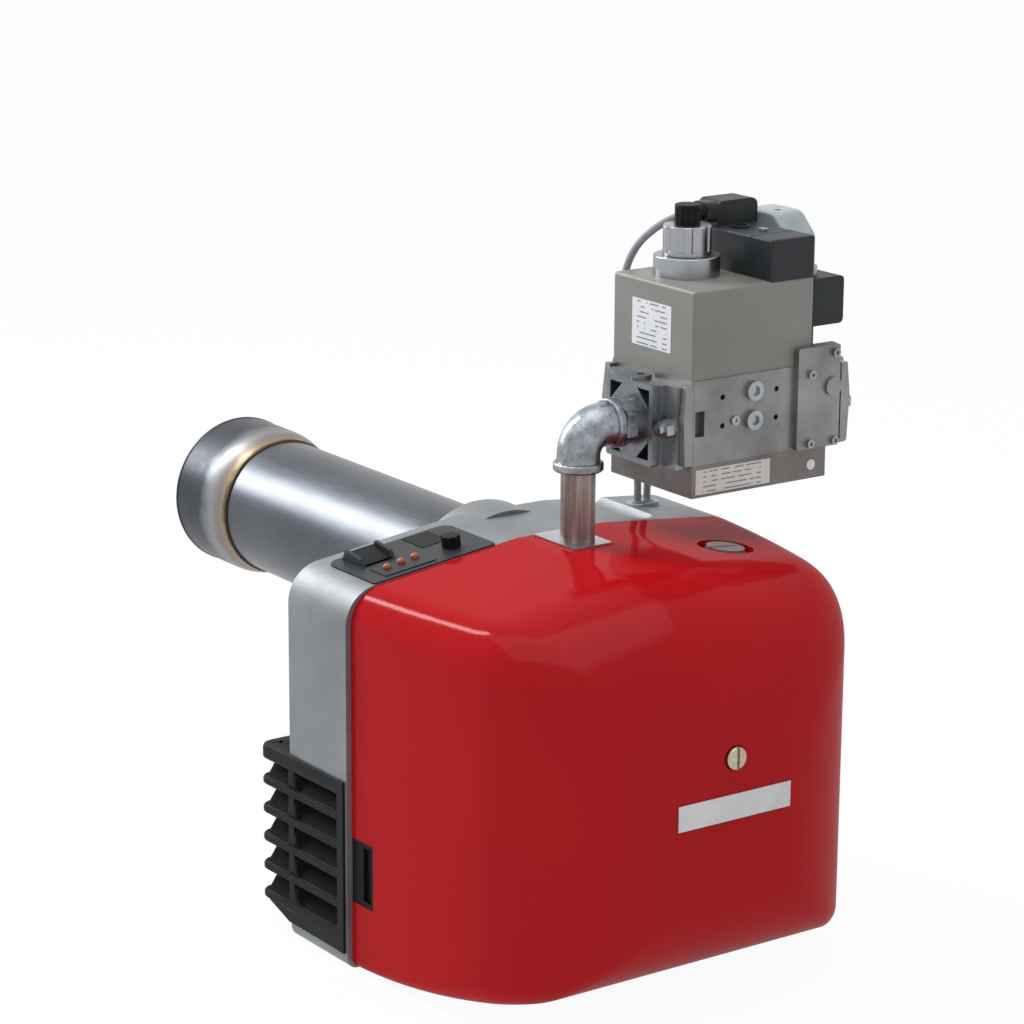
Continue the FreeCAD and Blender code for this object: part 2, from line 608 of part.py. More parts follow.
def scroll_profile(x, gap):
    """Scroll outline in the plane x: two half rounds that grow towards a straight mouth."""
    small = SCROLL_R_SMALL - gap
    large = SCROLL_R_LARGE - gap
    step = SCROLL_R_LARGE - SCROLL_R_SMALL
    top = (FAN_Y, FAN_Z + small)
    rear = (FAN_Y - small, FAN_Z)
    bottom = (FAN_Y, FAN_Z - small)
    low_front = (FAN_Y + large * math.sin(math.radians(45)), FAN_Z + step - large * math.cos(math.radians(45)))
    front = (FAN_Y + large, FAN_Z + step)
    mouth = SCROLL_TOP_Z + (gap if gap > 0 else 0)
    pts = [V(x, p[0], p[1]) for p in (top, rear, bottom, low_front, front)]
    edges = [
        Part.Arc(pts[0], pts[1], pts[2]).toShape(),
        Part.Arc(pts[2], pts[3], pts[4]).toShape(),
        Part.LineSegment(pts[4], V(x, FAN_Y + large, mouth)).toShape(),
        Part.LineSegment(V(x, FAN_Y + large, mouth), V(x, FAN_Y, mouth)).toShape(),
        Part.LineSegment(V(x, FAN_Y, mouth), pts[0]).toShape(),
    ]
    return Part.Face(Part.Wire(edges))


def fan_scroll():
    """Sheet scroll round the wheel, open at its eye, at the motor and at its mouth."""
    outer = scroll_profile(SCROLL_X[0], 0.0).extrude(V(SCROLL_X[1] - SCROLL_X[0], 0, 0))
    depth = SCROLL_X[1] - SCROLL_X[0] - 2 * SCROLL_WALL
    inner = scroll_profile(SCROLL_X[0] + SCROLL_WALL, SCROLL_WALL).extrude(V(depth, 0, 0))
    shell = outer.cut(inner)
    shell = shell.cut(rod("X", FAN_EYE_R - 2, (SCROLL_X[0] - 1, FAN_Y, FAN_Z), SCROLL_WALL + 2))
    return shell.cut(rod("X", 20, (SCROLL_X[1] - SCROLL_WALL - 1, FAN_Y, FAN_Z), SCROLL_WALL + 2))


def motor_body():
    """Motor casing with mounting flange, cooling fins and the rotor's hollow."""
    x0 = SCROLL_X[1]
    at = (x0, FAN_Y, FAN_Z)
    body = rod("X", MOTOR_R, (x0 + 6, FAN_Y, FAN_Z), MOTOR_END_X - x0 - 6)
    body = body.fuse(rod("X", MOTOR_R + 9, at, 6))
    for i in range(5):
        body = body.cut(ring("X", MOTOR_R + 1, MOTOR_R - 3, (x0 + 24 + 15 * i, FAN_Y, FAN_Z), 6))
    hollow = rod("X", ROTOR_R + ROTOR_GAP, (ROTOR_X[0] - 3, FAN_Y, FAN_Z), ROTOR_X[1] - ROTOR_X[0] + 6)
    body = body.cut(hollow)
    bore = rod("X", SHAFT_R + SHAFT_GAP, (x0 - 1, FAN_Y, FAN_Z), MOTOR_END_X - 8 - x0 + 1)
    body = body.cut(bore)
    bell = rod("X", MOTOR_R - 2, (MOTOR_END_X, FAN_Y, FAN_Z), 8)
    end = MOTOR_END_X + 8
    bell = round_edges(bell, 4, lambda e: abs(e.BoundBox.XMin - end) < 0.01 and e.BoundBox.XLength < 0.01)
    return body.fuse(bell).removeSplitter()


def motor_shaft():
    """Shaft through rotor and fan hub."""
    start = FAN_X[1] - 28
    return rod("X", SHAFT_R, (start, FAN_Y, FAN_Z), MOTOR_END_X - 9 - start)


def motor_rotor():
    """Laminated rotor on the shaft."""
    return ring("X", ROTOR_R, SHAFT_R, (ROTOR_X[0], FAN_Y, FAN_Z), ROTOR_X[1] - ROTOR_X[0])


def motor_capacitor():
    """Run capacitor lying in the angle between scroll and motor."""
    can = rod("X", 18, (SCROLL_X[1] + 8, FAN_Y - 52, FAN_Z + 48), 66)
    strap = box((SCROLL_X[1] + 20, SCROLL_X[1] + 30), (FAN_Y - 45, FAN_Y - 28), (FAN_Z + 30, FAN_Z + 46))
    strap = strap.cut(rod("X", MOTOR_R, (SCROLL_X[1], FAN_Y, FAN_Z), 80))
    return can.fuse(strap).removeSplitter()


def duct_cover():
    """Plate that closes the air duct from behind and carries the gas manifold."""
    x = (DUCT_X[0] - DUCT_WALL, DUCT_X[1] + DUCT_WALL)
    top = top_z(x[0]) - BODY_WALL - 0.5
    plate = box(x, (SEAM_Y, SEAM_Y + DUCT_WALL), (SCROLL_TOP_Z + 0.3, top))
    return plate.cut(rod("Y", 15, (0, SEAM_Y - 1, 0), DUCT_WALL + 2))


def inner_screws():
    """Screw heads on the component plate and round the duct cover."""
    screws = component_screws()
    for x in (DUCT_X[0] - 1, DUCT_X[1] + 1):
        for z in (SCROLL_TOP_Z + 12, -15.0, 40.0):
            screws.append(rod("Y", 3.5, (x, SEAM_Y - 2.5, z), 2.5))
    return screws


def gas_manifold():
    """Cast elbow that takes the supply pipe and lets the head tube slide in its arm."""
    body = rod("Z", 18.5, (0, PIPE_Y, -18.5), 64)
    arm_l = SEAM_Y - PIPE_Y
    body = body.fuse(rod("Y", 18.5, (0, PIPE_Y, 0), arm_l))
    body = body.fuse(rod("Y", 30, (0, SEAM_Y - 5, 0), 5))
    body = body.cut(rod("Z", PIPE_R, (0, PIPE_Y, PIPE_FOOT_Z), 40))
    body = body.cut(rod("Z", PIPE_BORE_R, (0, PIPE_Y, -8), 40))
    return body.cut(rod("Y", PIPE_R + GAS_FIT, (0, GAS_TUBE_Y0 - 1, 0), 40))


GAS_TUBE_Y0 = -121.0


def gas_pipe():
    """Supply pipe from the manifold up to the malleable elbow."""
    top = ELBOW_AXIS_Z - ELBOW_LEG + ELBOW_SOCKET
    return ring("Z", PIPE_R, PIPE_BORE_R, (0, PIPE_Y, PIPE_FOOT_Z), top - PIPE_FOOT_Z)


def pipe_elbow():
    """Malleable 90 degree elbow with banded ends."""
    low = ELBOW_AXIS_Z - ELBOW_LEG
    foot = rod("Z", BEAD_R, (0, PIPE_Y, low), BEAD_L)
    foot = foot.makeFillet(1.8, [e for e in foot.Edges if e.BoundBox.ZLength < 0.01])
    end = rod("X", BEAD_R, (ELBOW_LEG - BEAD_L, PIPE_Y, ELBOW_AXIS_Z), BEAD_L)
    end = end.makeFillet(1.8, [e for e in end.Edges if e.BoundBox.XLength < 0.01])
    elbow = elbow_sweep(ELBOW_R).fuse(foot).fuse(end)
    elbow = elbow.cut(rod("Z", PIPE_R, (0, PIPE_Y, low - 1), ELBOW_SOCKET + 1))
    elbow = elbow.cut(rod("X", PIPE_R, (ELBOW_LEG - ELBOW_SOCKET, PIPE_Y, ELBOW_AXIS_Z), ELBOW_SOCKET + 1))
    return elbow.cut(elbow_sweep(PORT_R))


def elbow_sweep(r):
    """Round bar of radius r along the elbow's two legs and its quarter turn."""
    turn = ELBOW_TURN_R
    low = V(0, PIPE_Y, ELBOW_AXIS_Z - ELBOW_LEG)
    bend_in = V(0, PIPE_Y, ELBOW_AXIS_Z - turn)
    bend_out = V(turn, PIPE_Y, ELBOW_AXIS_Z)
    mid = V(turn * (1 - math.sqrt(0.5)), PIPE_Y, ELBOW_AXIS_Z - turn * (1 - math.sqrt(0.5)))
    end = V(ELBOW_LEG, PIPE_Y, ELBOW_AXIS_Z)
    path = Part.Wire([
        Part.LineSegment(low, bend_in).toShape(),
        Part.Arc(bend_in, mid, bend_out).toShape(),
        Part.LineSegment(bend_out, end).toShape(),
    ])
    return path.makePipeShell([Part.Wire(Part.makeCircle(r, low, V(0, 0, 1)))], True, True)


def hex_nipple():
    """Hexagon nipple between the elbow and the outlet flange."""
    x0 = ELBOW_LEG
    face = VALVE_X[0] - FLANGE_T
    nipple = hexagon("X", 36, (x0, PIPE_Y, ELBOW_AXIS_Z), 10)
    nipple = nipple.common(rod("X", 20, (x0, PIPE_Y, ELBOW_AXIS_Z), 10))
    nipple = nipple.fuse(rod("X", PIPE_R, (x0 - ELBOW_SOCKET, PIPE_Y, ELBOW_AXIS_Z), face - x0 + 2 * ELBOW_SOCKET))
    nipple = nipple.fuse(rod("X", 17, (x0, PIPE_Y, ELBOW_AXIS_Z), face - x0))
    return nipple.cut(rod("X", 9.5, (x0 - 15, PIPE_Y, ELBOW_AXIS_Z), 60)).removeSplitter()


def flange_form(x_face, sign, bore_r, bore_l):
    """Flange block with a cored square face and two bolted lugs; sign points out of the valve."""
    x_valve = x_face - sign * FLANGE_T

    def span(a, b):
        return (min(a, b), max(a, b))

    half_z = (ELBOW_AXIS_Z - FLANGE_HALF_Z, ELBOW_AXIS_Z + FLANGE_HALF_Z)
    block = box(span(x_valve, x_face), (PIPE_Y - FLANGE_HALF_Y, PIPE_Y + FLANGE_HALF_Y), half_z)
    block = round_edges(block, 2.0, along_x)
    step = box(span(x_valve, x_valve + sign * 16), (PIPE_Y - 31.5, PIPE_Y + 31.5), half_z)
    lugs = box(span(x_valve, x_valve + sign * LUG_T), (PIPE_Y - LUG_HALF_Y, PIPE_Y + LUG_HALF_Y), half_z)
    form = block.fuse([step, lugs])
    for sy in (-1, 1):
        for sz in (-1, 1):
            y = PIPE_Y + sy * 24.5
            z = ELBOW_AXIS_Z + sz * 27.5
            pocket = polygon_prism(
                [(x_face + sign, y, z), (x_face + sign, y - sy * 15, z), (x_face + sign, y, z - sz * 15)],
                (-sign * 13, 0, 0))
            form = form.cut(pocket)
        form = form.cut(rod("X", 4.6, (x_valve - 30 * (1 - sign) / 2, PIPE_Y + sy * FLANGE_BOLT_Y, ELBOW_AXIS_Z), 30))
    through = rod("X", PORT_R, (min(x_valve, x_face) - 1, PIPE_Y, ELBOW_AXIS_Z), FLANGE_T + 2)
    thread = rod("X", bore_r, (min(x_face, x_face - sign * bore_l), PIPE_Y, ELBOW_AXIS_Z), bore_l)
    return form.cut(through).cut(thread).removeSplitter()


def outlet_flange():
    """Flange on the burner side of the valve."""
    form = flange_form(VALVE_X[0] - FLANGE_T, -1, PIPE_R, 12)
    top = ELBOW_AXIS_Z + FLANGE_HALF_Z
    plug = rod("Z", 8.5, (VALVE_X[0] - 11, PIPE_Y, top - 1), 4)
    plug = plug.cut(hexagon("Z", 6, (VALVE_X[0] - 11, PIPE_Y, top), 5))
    return form.fuse(plug)


def inlet_flange():
    """Flange that takes the gas supply, threaded."""
    return flange_form(VALVE_X[1] + FLANGE_T, 1, INLET_THREAD_R, INLET_THREAD_L)


def flange_bolts():
    """Hexagon bolts with washers and nuts through the flange lugs."""
    bolts = []
    for x_valve, sign in ((VALVE_X[0], -1), (VALVE_X[1], 1)):
        for sy in (-1, 1):
            at = PIPE_Y + sy * FLANGE_BOLT_Y
            face = x_valve + sign * LUG_T
            stick = 14 if sign < 0 else 3
            shank_start = min(x_valve, face + sign * stick)
            bolt = rod("X", 4.5, (shank_start, at, ELBOW_AXIS_Z), stick + LUG_T)
            washer = rod("X", 7.5, (min(face, face + sign * 1.6), at, ELBOW_AXIS_Z), 1.6)
            nut_l = 7.4 if sign < 0 else 3.2
            nut_x = min(face + sign * 1.6, face + sign * (1.6 + nut_l))
            nut = hexagon("X", 13, (nut_x, at, ELBOW_AXIS_Z), nut_l)
            bolts.append(bolt.fuse([washer, nut]).removeSplitter())
    return bolts


def valve_block():
    """Machined double-valve block with its two ports, plunger wells and side lugs."""
    block = box(VALVE_X, VALVE_Y, (SEAM_Z, BLOCK_TOP_Z))
    block = round_edges(block, 2.0, upright)
    for x_end, sign in ((VALVE_X[0], -1), (VALVE_X[1], 1)):
        for y0 in (VALVE_Y[0], VALVE_Y[1] - 6):
            z0 = ELBOW_AXIS_Z - 32
            ear = polygon_prism(
                [(x_end, y0, z0 + 3), (x_end + sign * 7, y0, z0 + 3), (x_end + sign * 9, y0, z0 + 40),
                 (x_end + sign * 6, y0, z0 + 66), (x_end, y0, z0 + 66)], (0, 6, 0))
            block = block.fuse(ear)
    block = block.cut(rod("X", PORT_R, (VALVE_X[0] - 1, PIPE_Y, ELBOW_AXIS_Z), VALVE_X[1] - VALVE_X[0] + 2))
    for x in WELLS_X:
        block = block.cut(rod("Z", WELL_R, (x, PIPE_Y, ELBOW_AXIS_Z), BLOCK_TOP_Z - ELBOW_AXIS_Z + 1))
    block = block.cut(box((71.5, 80.5), (VALVE_Y[0] - 1, VALVE_Y[0] + 7), (151, 171)))
    for x, z, r in ((97.9, 179.5, 2.2), (151.0, 179.5, 2.2), (98.1, 157.0, 2.2), (150.9, 157.0, 2.2)):
        block = block.cut(rod("Y", r, (x, VALVE_Y[0] - 1, z), 8))
    for at in VALVE_PLUGS_AT:
        block = block.cut(rod("Y", 5.0, (at[0], VALVE_Y[0] - 1, at[1]), 11))
    block = block.cut(rod("Y", 2.5, (109.7, VALVE_Y[0] - 1, 160.0), 9))
    return block.removeSplitter()


WELLS_X = (103.0, 152.0)
WELL_R = 15.0
PLUNGER_R = 14.0
PLUNGER_STEM_R = 8.0
VALVE_PLUGS_AT = ((127.4, 181.3), (127.4, 158.2))


def valve_base():
    """Lower housing of the valve block, with the filter chamber."""
    base = box((VALVE_X[0], BASE_X1), VALVE_Y, (BASE_Z, SEAM_Z))
    base = round_edges(base, 2.0, upright)
    hollow = box((VALVE_X[0] + 8, BASE_X1 - 8), (VALVE_Y[0] + 8, VALVE_Y[1] - 8), (BASE_Z + 5, SEAM_Z - 4))
    return base.cut(hollow)


def valve_plungers():
    """Spring-closed plungers, one in each well."""
    return [plunger(x) for x in WELLS_X]


def plunger(x):
    """Plunger with a sealing disc at its foot."""
    stem = rod("Z", PLUNGER_STEM_R, (x, PIPE_Y, ELBOW_AXIS_Z + 14), 34)
    disc = rod("Z", PLUNGER_R, (x, PIPE_Y, ELBOW_AXIS_Z + 12.5), 5)
    return stem.fuse(disc).removeSplitter()


def coil_housing():
    """Painted coil housing with the two coil wells open below."""
    block = box((VALVE_X[0], COIL_X1), (VALVE_Y[0] + 1, VALVE_Y[1] - 1), (BLOCK_TOP_Z, COIL_TOP_Z))
    block = round_edges(block, 2.5, lambda e: upright(e) or e.BoundBox.ZMin > COIL_TOP_Z - 0.01)
    for x in WELLS_X:
        block = block.cut(rod("Z", PLUNGER_STEM_R + LIFT, (x, PIPE_Y, BLOCK_TOP_Z - 1), 26))
    return block


def valve_side_plate():
    """Cover plate over the pressure ports, at the inlet end of the front."""
    plate = box((168.5, 210.5), (VALVE_Y[0] - 5, VALVE_Y[0]), (SEAM_Z - 0.5, 209.0))
    plate = round_edges(plate, 2.0, along_y)
    boss = rod("Y", 7.5, (203.0, VALVE_Y[0] - 7.5, 176.0), 3)
    lip = box((COIL_X1 + 1, 210.5), (VALVE_Y[0], VALVE_Y[0] + 6), (BLOCK_TOP_Z, 209.0))
    return plate.fuse([boss, lip]).removeSplitter()


def side_plate_screws():
    """Four cap screws on the side plate."""
    at = ((205.0, 202.8), (181.0, 188.0), (181.0, 132.8), (205.6, 132.4))
    return [socket_screw("Y", 3.4, 3.0, 2.0, 2.0, (x, VALVE_Y[0] - 5, z), -1).cut(
        box((160, 220), (VALVE_Y[0] - 5, VALVE_Y[0] + 5), (120, 215))) for x, z in at]


def valve_plugs():
    """Two hexagon-socket plugs with collars in the front of the block."""
    return [socket_screw("Y", 7.6, 4.0, 4.9, 8.0, (x, VALVE_Y[0], z), -1) for x, z in VALVE_PLUGS_AT]


def valve_fasteners():
    """Port plugs, side plate screws, the small front screw and the terminal box screw."""
    small = socket_screw("Y", 3.6, 2.2, 2.4, 6.0, (109.7, VALVE_Y[0], 160.0), -1)
    return valve_plugs() + side_plate_screws() + [small, terminal_screw()]


def brake_disc():
    """Turned base of the hydraulic brake on top of the coils."""
    r, h = BRAKE_DISC
    disc = rod("Z", r, (BRAKE_AT[0], BRAKE_AT[1], COIL_TOP_Z), h)
    disc = round_edges(disc, 1.2, lambda e: e.BoundBox.ZMin > COIL_TOP_Z + h - 0.01)
    spigot = rod("Z", BRAKE_SPIGOT_R, (BRAKE_AT[0], BRAKE_AT[1], COIL_TOP_Z + h), 10)
    return disc.fuse(spigot)


BRAKE_SPIGOT_R = 9.0


def flow_ring():
    """Fluted ring that sets the flow, with its lock screw's flat."""
    r, h = FLOW_RING
    z0 = COIL_TOP_Z + BRAKE_DISC[1] + LIFT
    body = rod("Z", r, (BRAKE_AT[0], BRAKE_AT[1], z0), h)
    body = round_edges(body, 1.5, lambda e: e.BoundBox.ZMin > z0 + h - 0.01)
    for i in range(10):
        a = math.radians(36 * i)
        groove = rod("Z", 5.0, (BRAKE_AT[0] + 22.6 * math.cos(a), BRAKE_AT[1] + 22.6 * math.sin(a), z0 + 3), h)
        body = body.cut(groove)
    well = rod("Z", BRAKE_SPIGOT_R + 0.05, (BRAKE_AT[0], BRAKE_AT[1], z0 - 1), 11.5)
    return body.cut(well)


def brake_cap():
    """Ribbed black cap on the brake's spindle."""
    r, h = BRAKE_CAP
    z0 = COIL_TOP_Z + BRAKE_DISC[1] + FLOW_RING[1] + 2 * LIFT
    cap = rod("Z", r, (BRAKE_AT[0], BRAKE_AT[1], z0), h)
    cap = round_edges(cap, 1.2, lambda e: e.BoundBox.ZMin > z0 + h - 0.01)
    for i in range(12):
        a = math.radians(30 * i)
        cap = cap.cut(rod("Z", 1.4, (BRAKE_AT[0] + 10.6 * math.cos(a), BRAKE_AT[1] + 10.6 * math.sin(a), z0), h - 3))
    return cap


def terminal_box():
    """Black terminal housing along the right front of the coil housing."""
    box_ = box((143.5, COIL_X1), (-184.0, -109.0), (COIL_TOP_Z, 295.8))
    box_ = round_edges(box_, 2.0, lambda e: upright(e) or e.BoundBox.ZMin > 295.7)
    box_ = box_.cut(box((140, 190), (-159.5, -158.5), (293, 297)))
    rim = ring("Z", 7.5, 5.5, (160.0, -125.0, 295.8), 2.0)
    return box_.fuse(rim)


def terminal_screw():
    """Cross-head screw on the terminal box lid."""
    screw = rod("Z", 3.8, (165.0, -147.0, 295.8), 2.0)
    return screw.cut(box((160, 170), (-147.5, -146.5), (296.8, 298)))


def lead_plug():
    """Black angled connector: base on the coil housing, block on top and ribbed neck."""
    stem = box((146.0, 176.0), (-107.0, -86.0), (COIL_TOP_Z, 293.0))
    stem = round_edges(stem, 3.0, upright)
    block = box((150.0, 190.0), (-108.7, -84.0), (293.0, 314.5))
    block = round_edges(block, 6.0, lambda e: along_y(e) and e.BoundBox.ZMin > 314)
    shoulder = box((140.0, 151.0), (-108.7, -90.0), (298.0, 314.0))
    shoulder = round_edges(shoulder, 4.0, lambda e: along_x(e))
    return stem.fuse([block, shoulder, lead_gland()]).removeSplitter()


def lead_gland():
    """Ribbed strain relief at the black connector."""
    gland = rod("X", 6.5, LEAD_A[0], 8.0)
    for i in range(2):
        x = LEAD_A[0][0] + 1.5 + 2.4 * i
        gland = gland.cut(ring("X", 7.0, 5.2, (x, LEAD_A[0][1], LEAD_A[0][2]), 1.2))
    return gland


def pressure_switch():
    """Gas pressure switch on the inlet end of the coil housing."""
    body = box((COIL_X1, 232.5), (-166.0, -96.0), (219.0, 257.0))
    body = round_edges(body, 4.0, along_y)
    foot = box((COIL_X1 + 1, 216), (-150, -112), (BLOCK_TOP_Z, 219.0))
    return body.fuse(foot).removeSplitter()


def pressure_dial():
    """Knurled dial on the pressure switch."""
    z0 = 257.0 + LIFT
    dial = rod("Z", 10.0, (205.0, -150.0, z0), 8.0)
    for i in range(16):
        a = math.radians(22.5 * i)
        dial = dial.cut(rod("Z", 1.1, (205.0 + 10.4 * math.cos(a), -150.0 + 10.4 * math.sin(a), z0), 9))
    return dial


def switch_plug():
    """Grey connector standing on the pressure switch."""
    side = [(-140.0, 257.0), (-140.0, 286.0), (-122.0, 303.0), (-82.0, 303.0), (-78.0, 282.0), (-78.0, 257.0)]
    wire = rounded_wire(side, [2, 9, 14, 10, 4, 2], lambda a, b: V(195.0, a, b))
    plug = Part.Face(wire).extrude(V(30, 0, 0))
    plug = round_edges(plug, 2.5, lambda e: e.BoundBox.XLength < 0.01 and e.BoundBox.ZMin > 258)
    return plug.cut(rod("Z", 3.0, (208.0, -112.0, 298.0), 20))


def lead_grommet():
    """Moulded grommet where both leads enter the housing."""
    z = top_z(LEAD_A[-1][0])
    body = box((114.0, 141.0), (-56.0, -39.5), (z - 3.0, z + 1.6))
    body = round_edges(body, 6.0, upright)
    for at in (LEAD_A[-1], LEAD_B[-1]):
        body = body.fuse(rod("Z", 5.0, (at[0], at[1], z - 9), at[2] - z + 9))
    under = housing_solid_under()
    collars = [rod("Z", 4.9, (at[0], at[1], z - 9), 12) for at in (LEAD_A[-1], LEAD_B[-1])]
    return body.cut(under).fuse(collars).removeSplitter()


def housing_solid_under():
    """Solid of the housing's outer form, for seating parts on its top."""
    return Part.Face(housing_outline(SEAM_Y)).extrude(V(0, BODY_FRONT_Y - SEAM_Y, 0))


def cable_tube(points, r):
    """Round lead along straight runs joined by tangent arcs; prints its radii."""
    pts = [V(*p) for p in points]
    edges = []
    cursor = pts[0]
    length = 0.0
    radii = []
    for i in range(1, len(pts) - 1):
        back = pts[i - 1] - pts[i]
        ahead = pts[i + 1] - pts[i]
        shorter = min(back.Length, ahead.Length)
        half_turn = (math.pi - back.getAngle(ahead)) / 2
        reach = 0.45 * shorter
        radius = reach / math.tan(half_turn)
        radii.append(round(radius, 1))
        back.normalize()
        ahead.normalize()
        start = pts[i] + back * reach
        end = pts[i] + ahead * reach
        middle_way = back + ahead
        middle_way.normalize()
        mid = pts[i] + middle_way * (radius / math.cos(half_turn) - radius)
        edges.append(Part.LineSegment(cursor, start).toShape())
        edges.append(Part.Arc(start, mid, end).toShape())
        length += (start - cursor).Length + radius * 2 * half_turn
        cursor = end
    edges.append(Part.LineSegment(cursor, pts[-1]).toShape())
    length += (pts[-1] - cursor).Length
    path = Part.Wire(edges)
    way = pts[1] - pts[0]
    section = Part.Wire(Part.makeCircle(r, pts[0], way))
    tube = path.makePipeShell([section], True, True)
    ratio = tube.Volume / (math.pi * r * r * length)
    print("lead length", round(length, 1), "volume ratio", round(ratio, 4), "radii", radii)
    return tube


def tilt(shape):
    """Turn a shape built level at the crest onto the sloping left of the housing top."""
    angle = math.degrees(math.atan(TOP_LEFT_SLOPE))
    turned = shape.copy()
    turned.rotate(V(TOP_LEFT_EDGE_X, 0, BODY_TOP_Z), V(0, 1, 0), -angle)
    return turned


def panel_blank(gap):
    """Outline block of the control panel, larger by gap on every side."""
    x = (PANEL_X[0] - gap, PANEL_X[1] + gap)
    y = (PANEL_Y[0] - gap, PANEL_Y[1] + gap)
    z0 = BODY_TOP_Z - PANEL_SINK
    corners = [(x[0], y[0]), (x[1], y[0]), (x[1], y[1]), (x[0], y[1])]
    wire = rounded_wire(corners, [3, 3, 10, 10], lambda a, b: V(a, b, z0))
    return Part.Face(wire).extrude(V(0, 0, PANEL_T))


def panel_top():
    """Height of the panel's face in its level position."""
    return BODY_TOP_Z - PANEL_SINK + PANEL_T


def control_panel():
    """Moulded panel with the switch guard, the raised lamp strip and its openings."""
    top = panel_top()
    plate = panel_blank(0.0)
    strip = box((PANEL_X[0] + 14.0, PANEL_X[0] + 60.0), (-93.0, -71.0), (top - 1, top + 0.8))
    guard_z = (top - 1, top + 9.0)
    for x0 in (SWITCH_X[0], SWITCH_X[1] - 3.0):
        fin = polygon_prism(
            [(x0, SWITCH_Y[0], guard_z[0]), (x0, SWITCH_Y[0] + 4, guard_z[1] - 3), (x0, SWITCH_Y[1] - 4, guard_z[1]),
             (x0, SWITCH_Y[1] + 2, guard_z[0])], (3.0, 0, 0))
        plate = plate.fuse(fin)
    plate = plate.fuse(strip)
    x = (SWITCH_X[0] + 3.0, SWITCH_X[1] - 3.0)
    plate = plate.cut(box(x, (SWITCH_Y[0] + 1, SWITCH_Y[1] - 1), (top - 10, top + 1)))
    plate = plate.cut(box((RESET_X[0] - 0.6, RESET_X[1] + 0.6), (RESET_Y[0] - 0.6, RESET_Y[1] + 0.6), (top - 10, top + 1)))
    plate = plate.cut(rod("Z", 3.05, (KNOB_AT[0], KNOB_AT[1], top - 10), 12))
    for at in LAMPS_AT:
        plate = plate.cut(rod("Z", LAMP_R, (at[0], at[1], top - 10), 14))
    return tilt(plate.removeSplitter())


def main_switch():
    """Rocker between the guard's fins, its lit lens at the rear end."""
    top = panel_top()
    x = (SWITCH_X[0] + 3.5, SWITCH_X[1] - 3.5)
    y = (SWITCH_Y[0] + 1.8, SWITCH_Y[1] - 1.8)
    mid = (y[0] + y[1]) / 2
    side = [(x[0], y[0], top + 1.5), (x[0], mid, top + 4.0), (x[0], y[1], top + 6.0), (x[0], y[1], top + 0.5),
            (x[0], mid + 6, top - 1.5), (x[0], mid - 6, top - 1.5), (x[0], y[0], top + 0.2)]
    pivot = rod("X", 2.2, (x[0], mid, top - 0.5), x[1] - x[0])
    return tilt(polygon_prism(side, (x[1] - x[0], 0, 0)).fuse(pivot))


def reset_button():
    """Flush square button in the panel."""
    top = panel_top()
    button = box(RESET_X, RESET_Y, (top - PANEL_T, top + 0.3))
    return tilt(round_edges(button, 1.0, upright))


def air_knob():
    """Ridged knob with its stem in the panel."""
    top = panel_top()
    body = rod("Z", KNOB_R, (KNOB_AT[0], KNOB_AT[1], top + LIFT), 9.0)
    for i in range(8):
        a = math.radians(45 * i + 22.5)
        at = (KNOB_AT[0] + 8.6 * math.cos(a), KNOB_AT[1] + 8.6 * math.sin(a), top + LIFT)
        body = body.cut(rod("Z", 2.4, at, 10))
    stem = rod("Z", 3.0, (KNOB_AT[0], KNOB_AT[1], top - PANEL_T), PANEL_T + LIFT)
    return tilt(body.fuse(stem))


def panel_lamps():
    """Three domed orange lamps."""
    top = panel_top()
    lamps = []
    for x, y in LAMPS_AT:
        stem = rod("Z", LAMP_R - 0.05, (x, y, top - PANEL_T), PANEL_T + 1.2)
        dome = Part.makeSphere(LAMP_R - 0.05, V(x, y, top + 1.2))
        dome = dome.cut(box((x - 5, x + 5), (y - 5, y + 5), (top - 9, top + 1.2)))
        lamps.append(tilt(stem.fuse(dome).removeSplitter()))
    return lamps


def intake_box():
    """Moulded box that leads the air from the louvre through the damper to the scroll."""
    wall = INTAKE_WALL
    x, y, z = INTAKE_X, INTAKE_Y, INTAKE_Z
    shell = round_edges(box(x, y, z), 6.0, along_x)
    inner = box((x[0] + wall, x[1] - wall), (y[0] + wall, y[1] - wall), (z[0] + wall, z[1] - wall))
    collar_x = (-BODY_HALF_W + BODY_WALL + 0.3, x[0] + wall)
    collar = box(collar_x, (LOUVRE_Y[0] + 2, y[1] - 1), (z[0] + 8, z[1] - 1))
    mouth = box((collar_x[0] - 1, collar_x[1] + 1), (LOUVRE_Y[0] + 2 + wall, y[1] - wall - 1),
                (z[0] + 8 + wall, z[1] - 1 - wall))
    shell = shell.fuse(collar).cut(inner).cut(mouth)
    shell = shell.cut(rod("X", FAN_EYE_R - 2, (x[1] - 5, FAN_Y, FAN_Z), 10))
    throat = box((DAMPER_X - 2, DAMPER_X + 2), (y[0] + 1, y[1] - 1), (z[0] + 1, z[1] - 1))
    throat = throat.cut(rod("X", DAMPER_R + DAMPER_GAP, (DAMPER_X - 3, DAMPER_Y, DAMPER_Z), 6))
    shell = shell.fuse(throat)
    bore = rod("Z", 3.05, (DAMPER_X, DAMPER_Y, z[0] - 1), z[1] - z[0] + 2)
    return shell.cut(bore).removeSplitter()


def damper_flap():
    """Round flap on its spindle, with the setting lever on top."""
    flap = rod("X", DAMPER_R, (DAMPER_X - DAMPER_T / 2, DAMPER_Y, DAMPER_Z), DAMPER_T)
    spindle = rod("Z", 3.0, (DAMPER_X, DAMPER_Y, INTAKE_Z[0] + 0.5), INTAKE_Z[1] - INTAKE_Z[0] + 6)
    lever_y = (DAMPER_Y - 30, DAMPER_Y + 4)
    lever = box((DAMPER_X - 4, DAMPER_X + 4), lever_y, (INTAKE_Z[1] + 1.0, INTAKE_Z[1] + 3.5))
    return flap.fuse([spindle, lever]).removeSplitter()


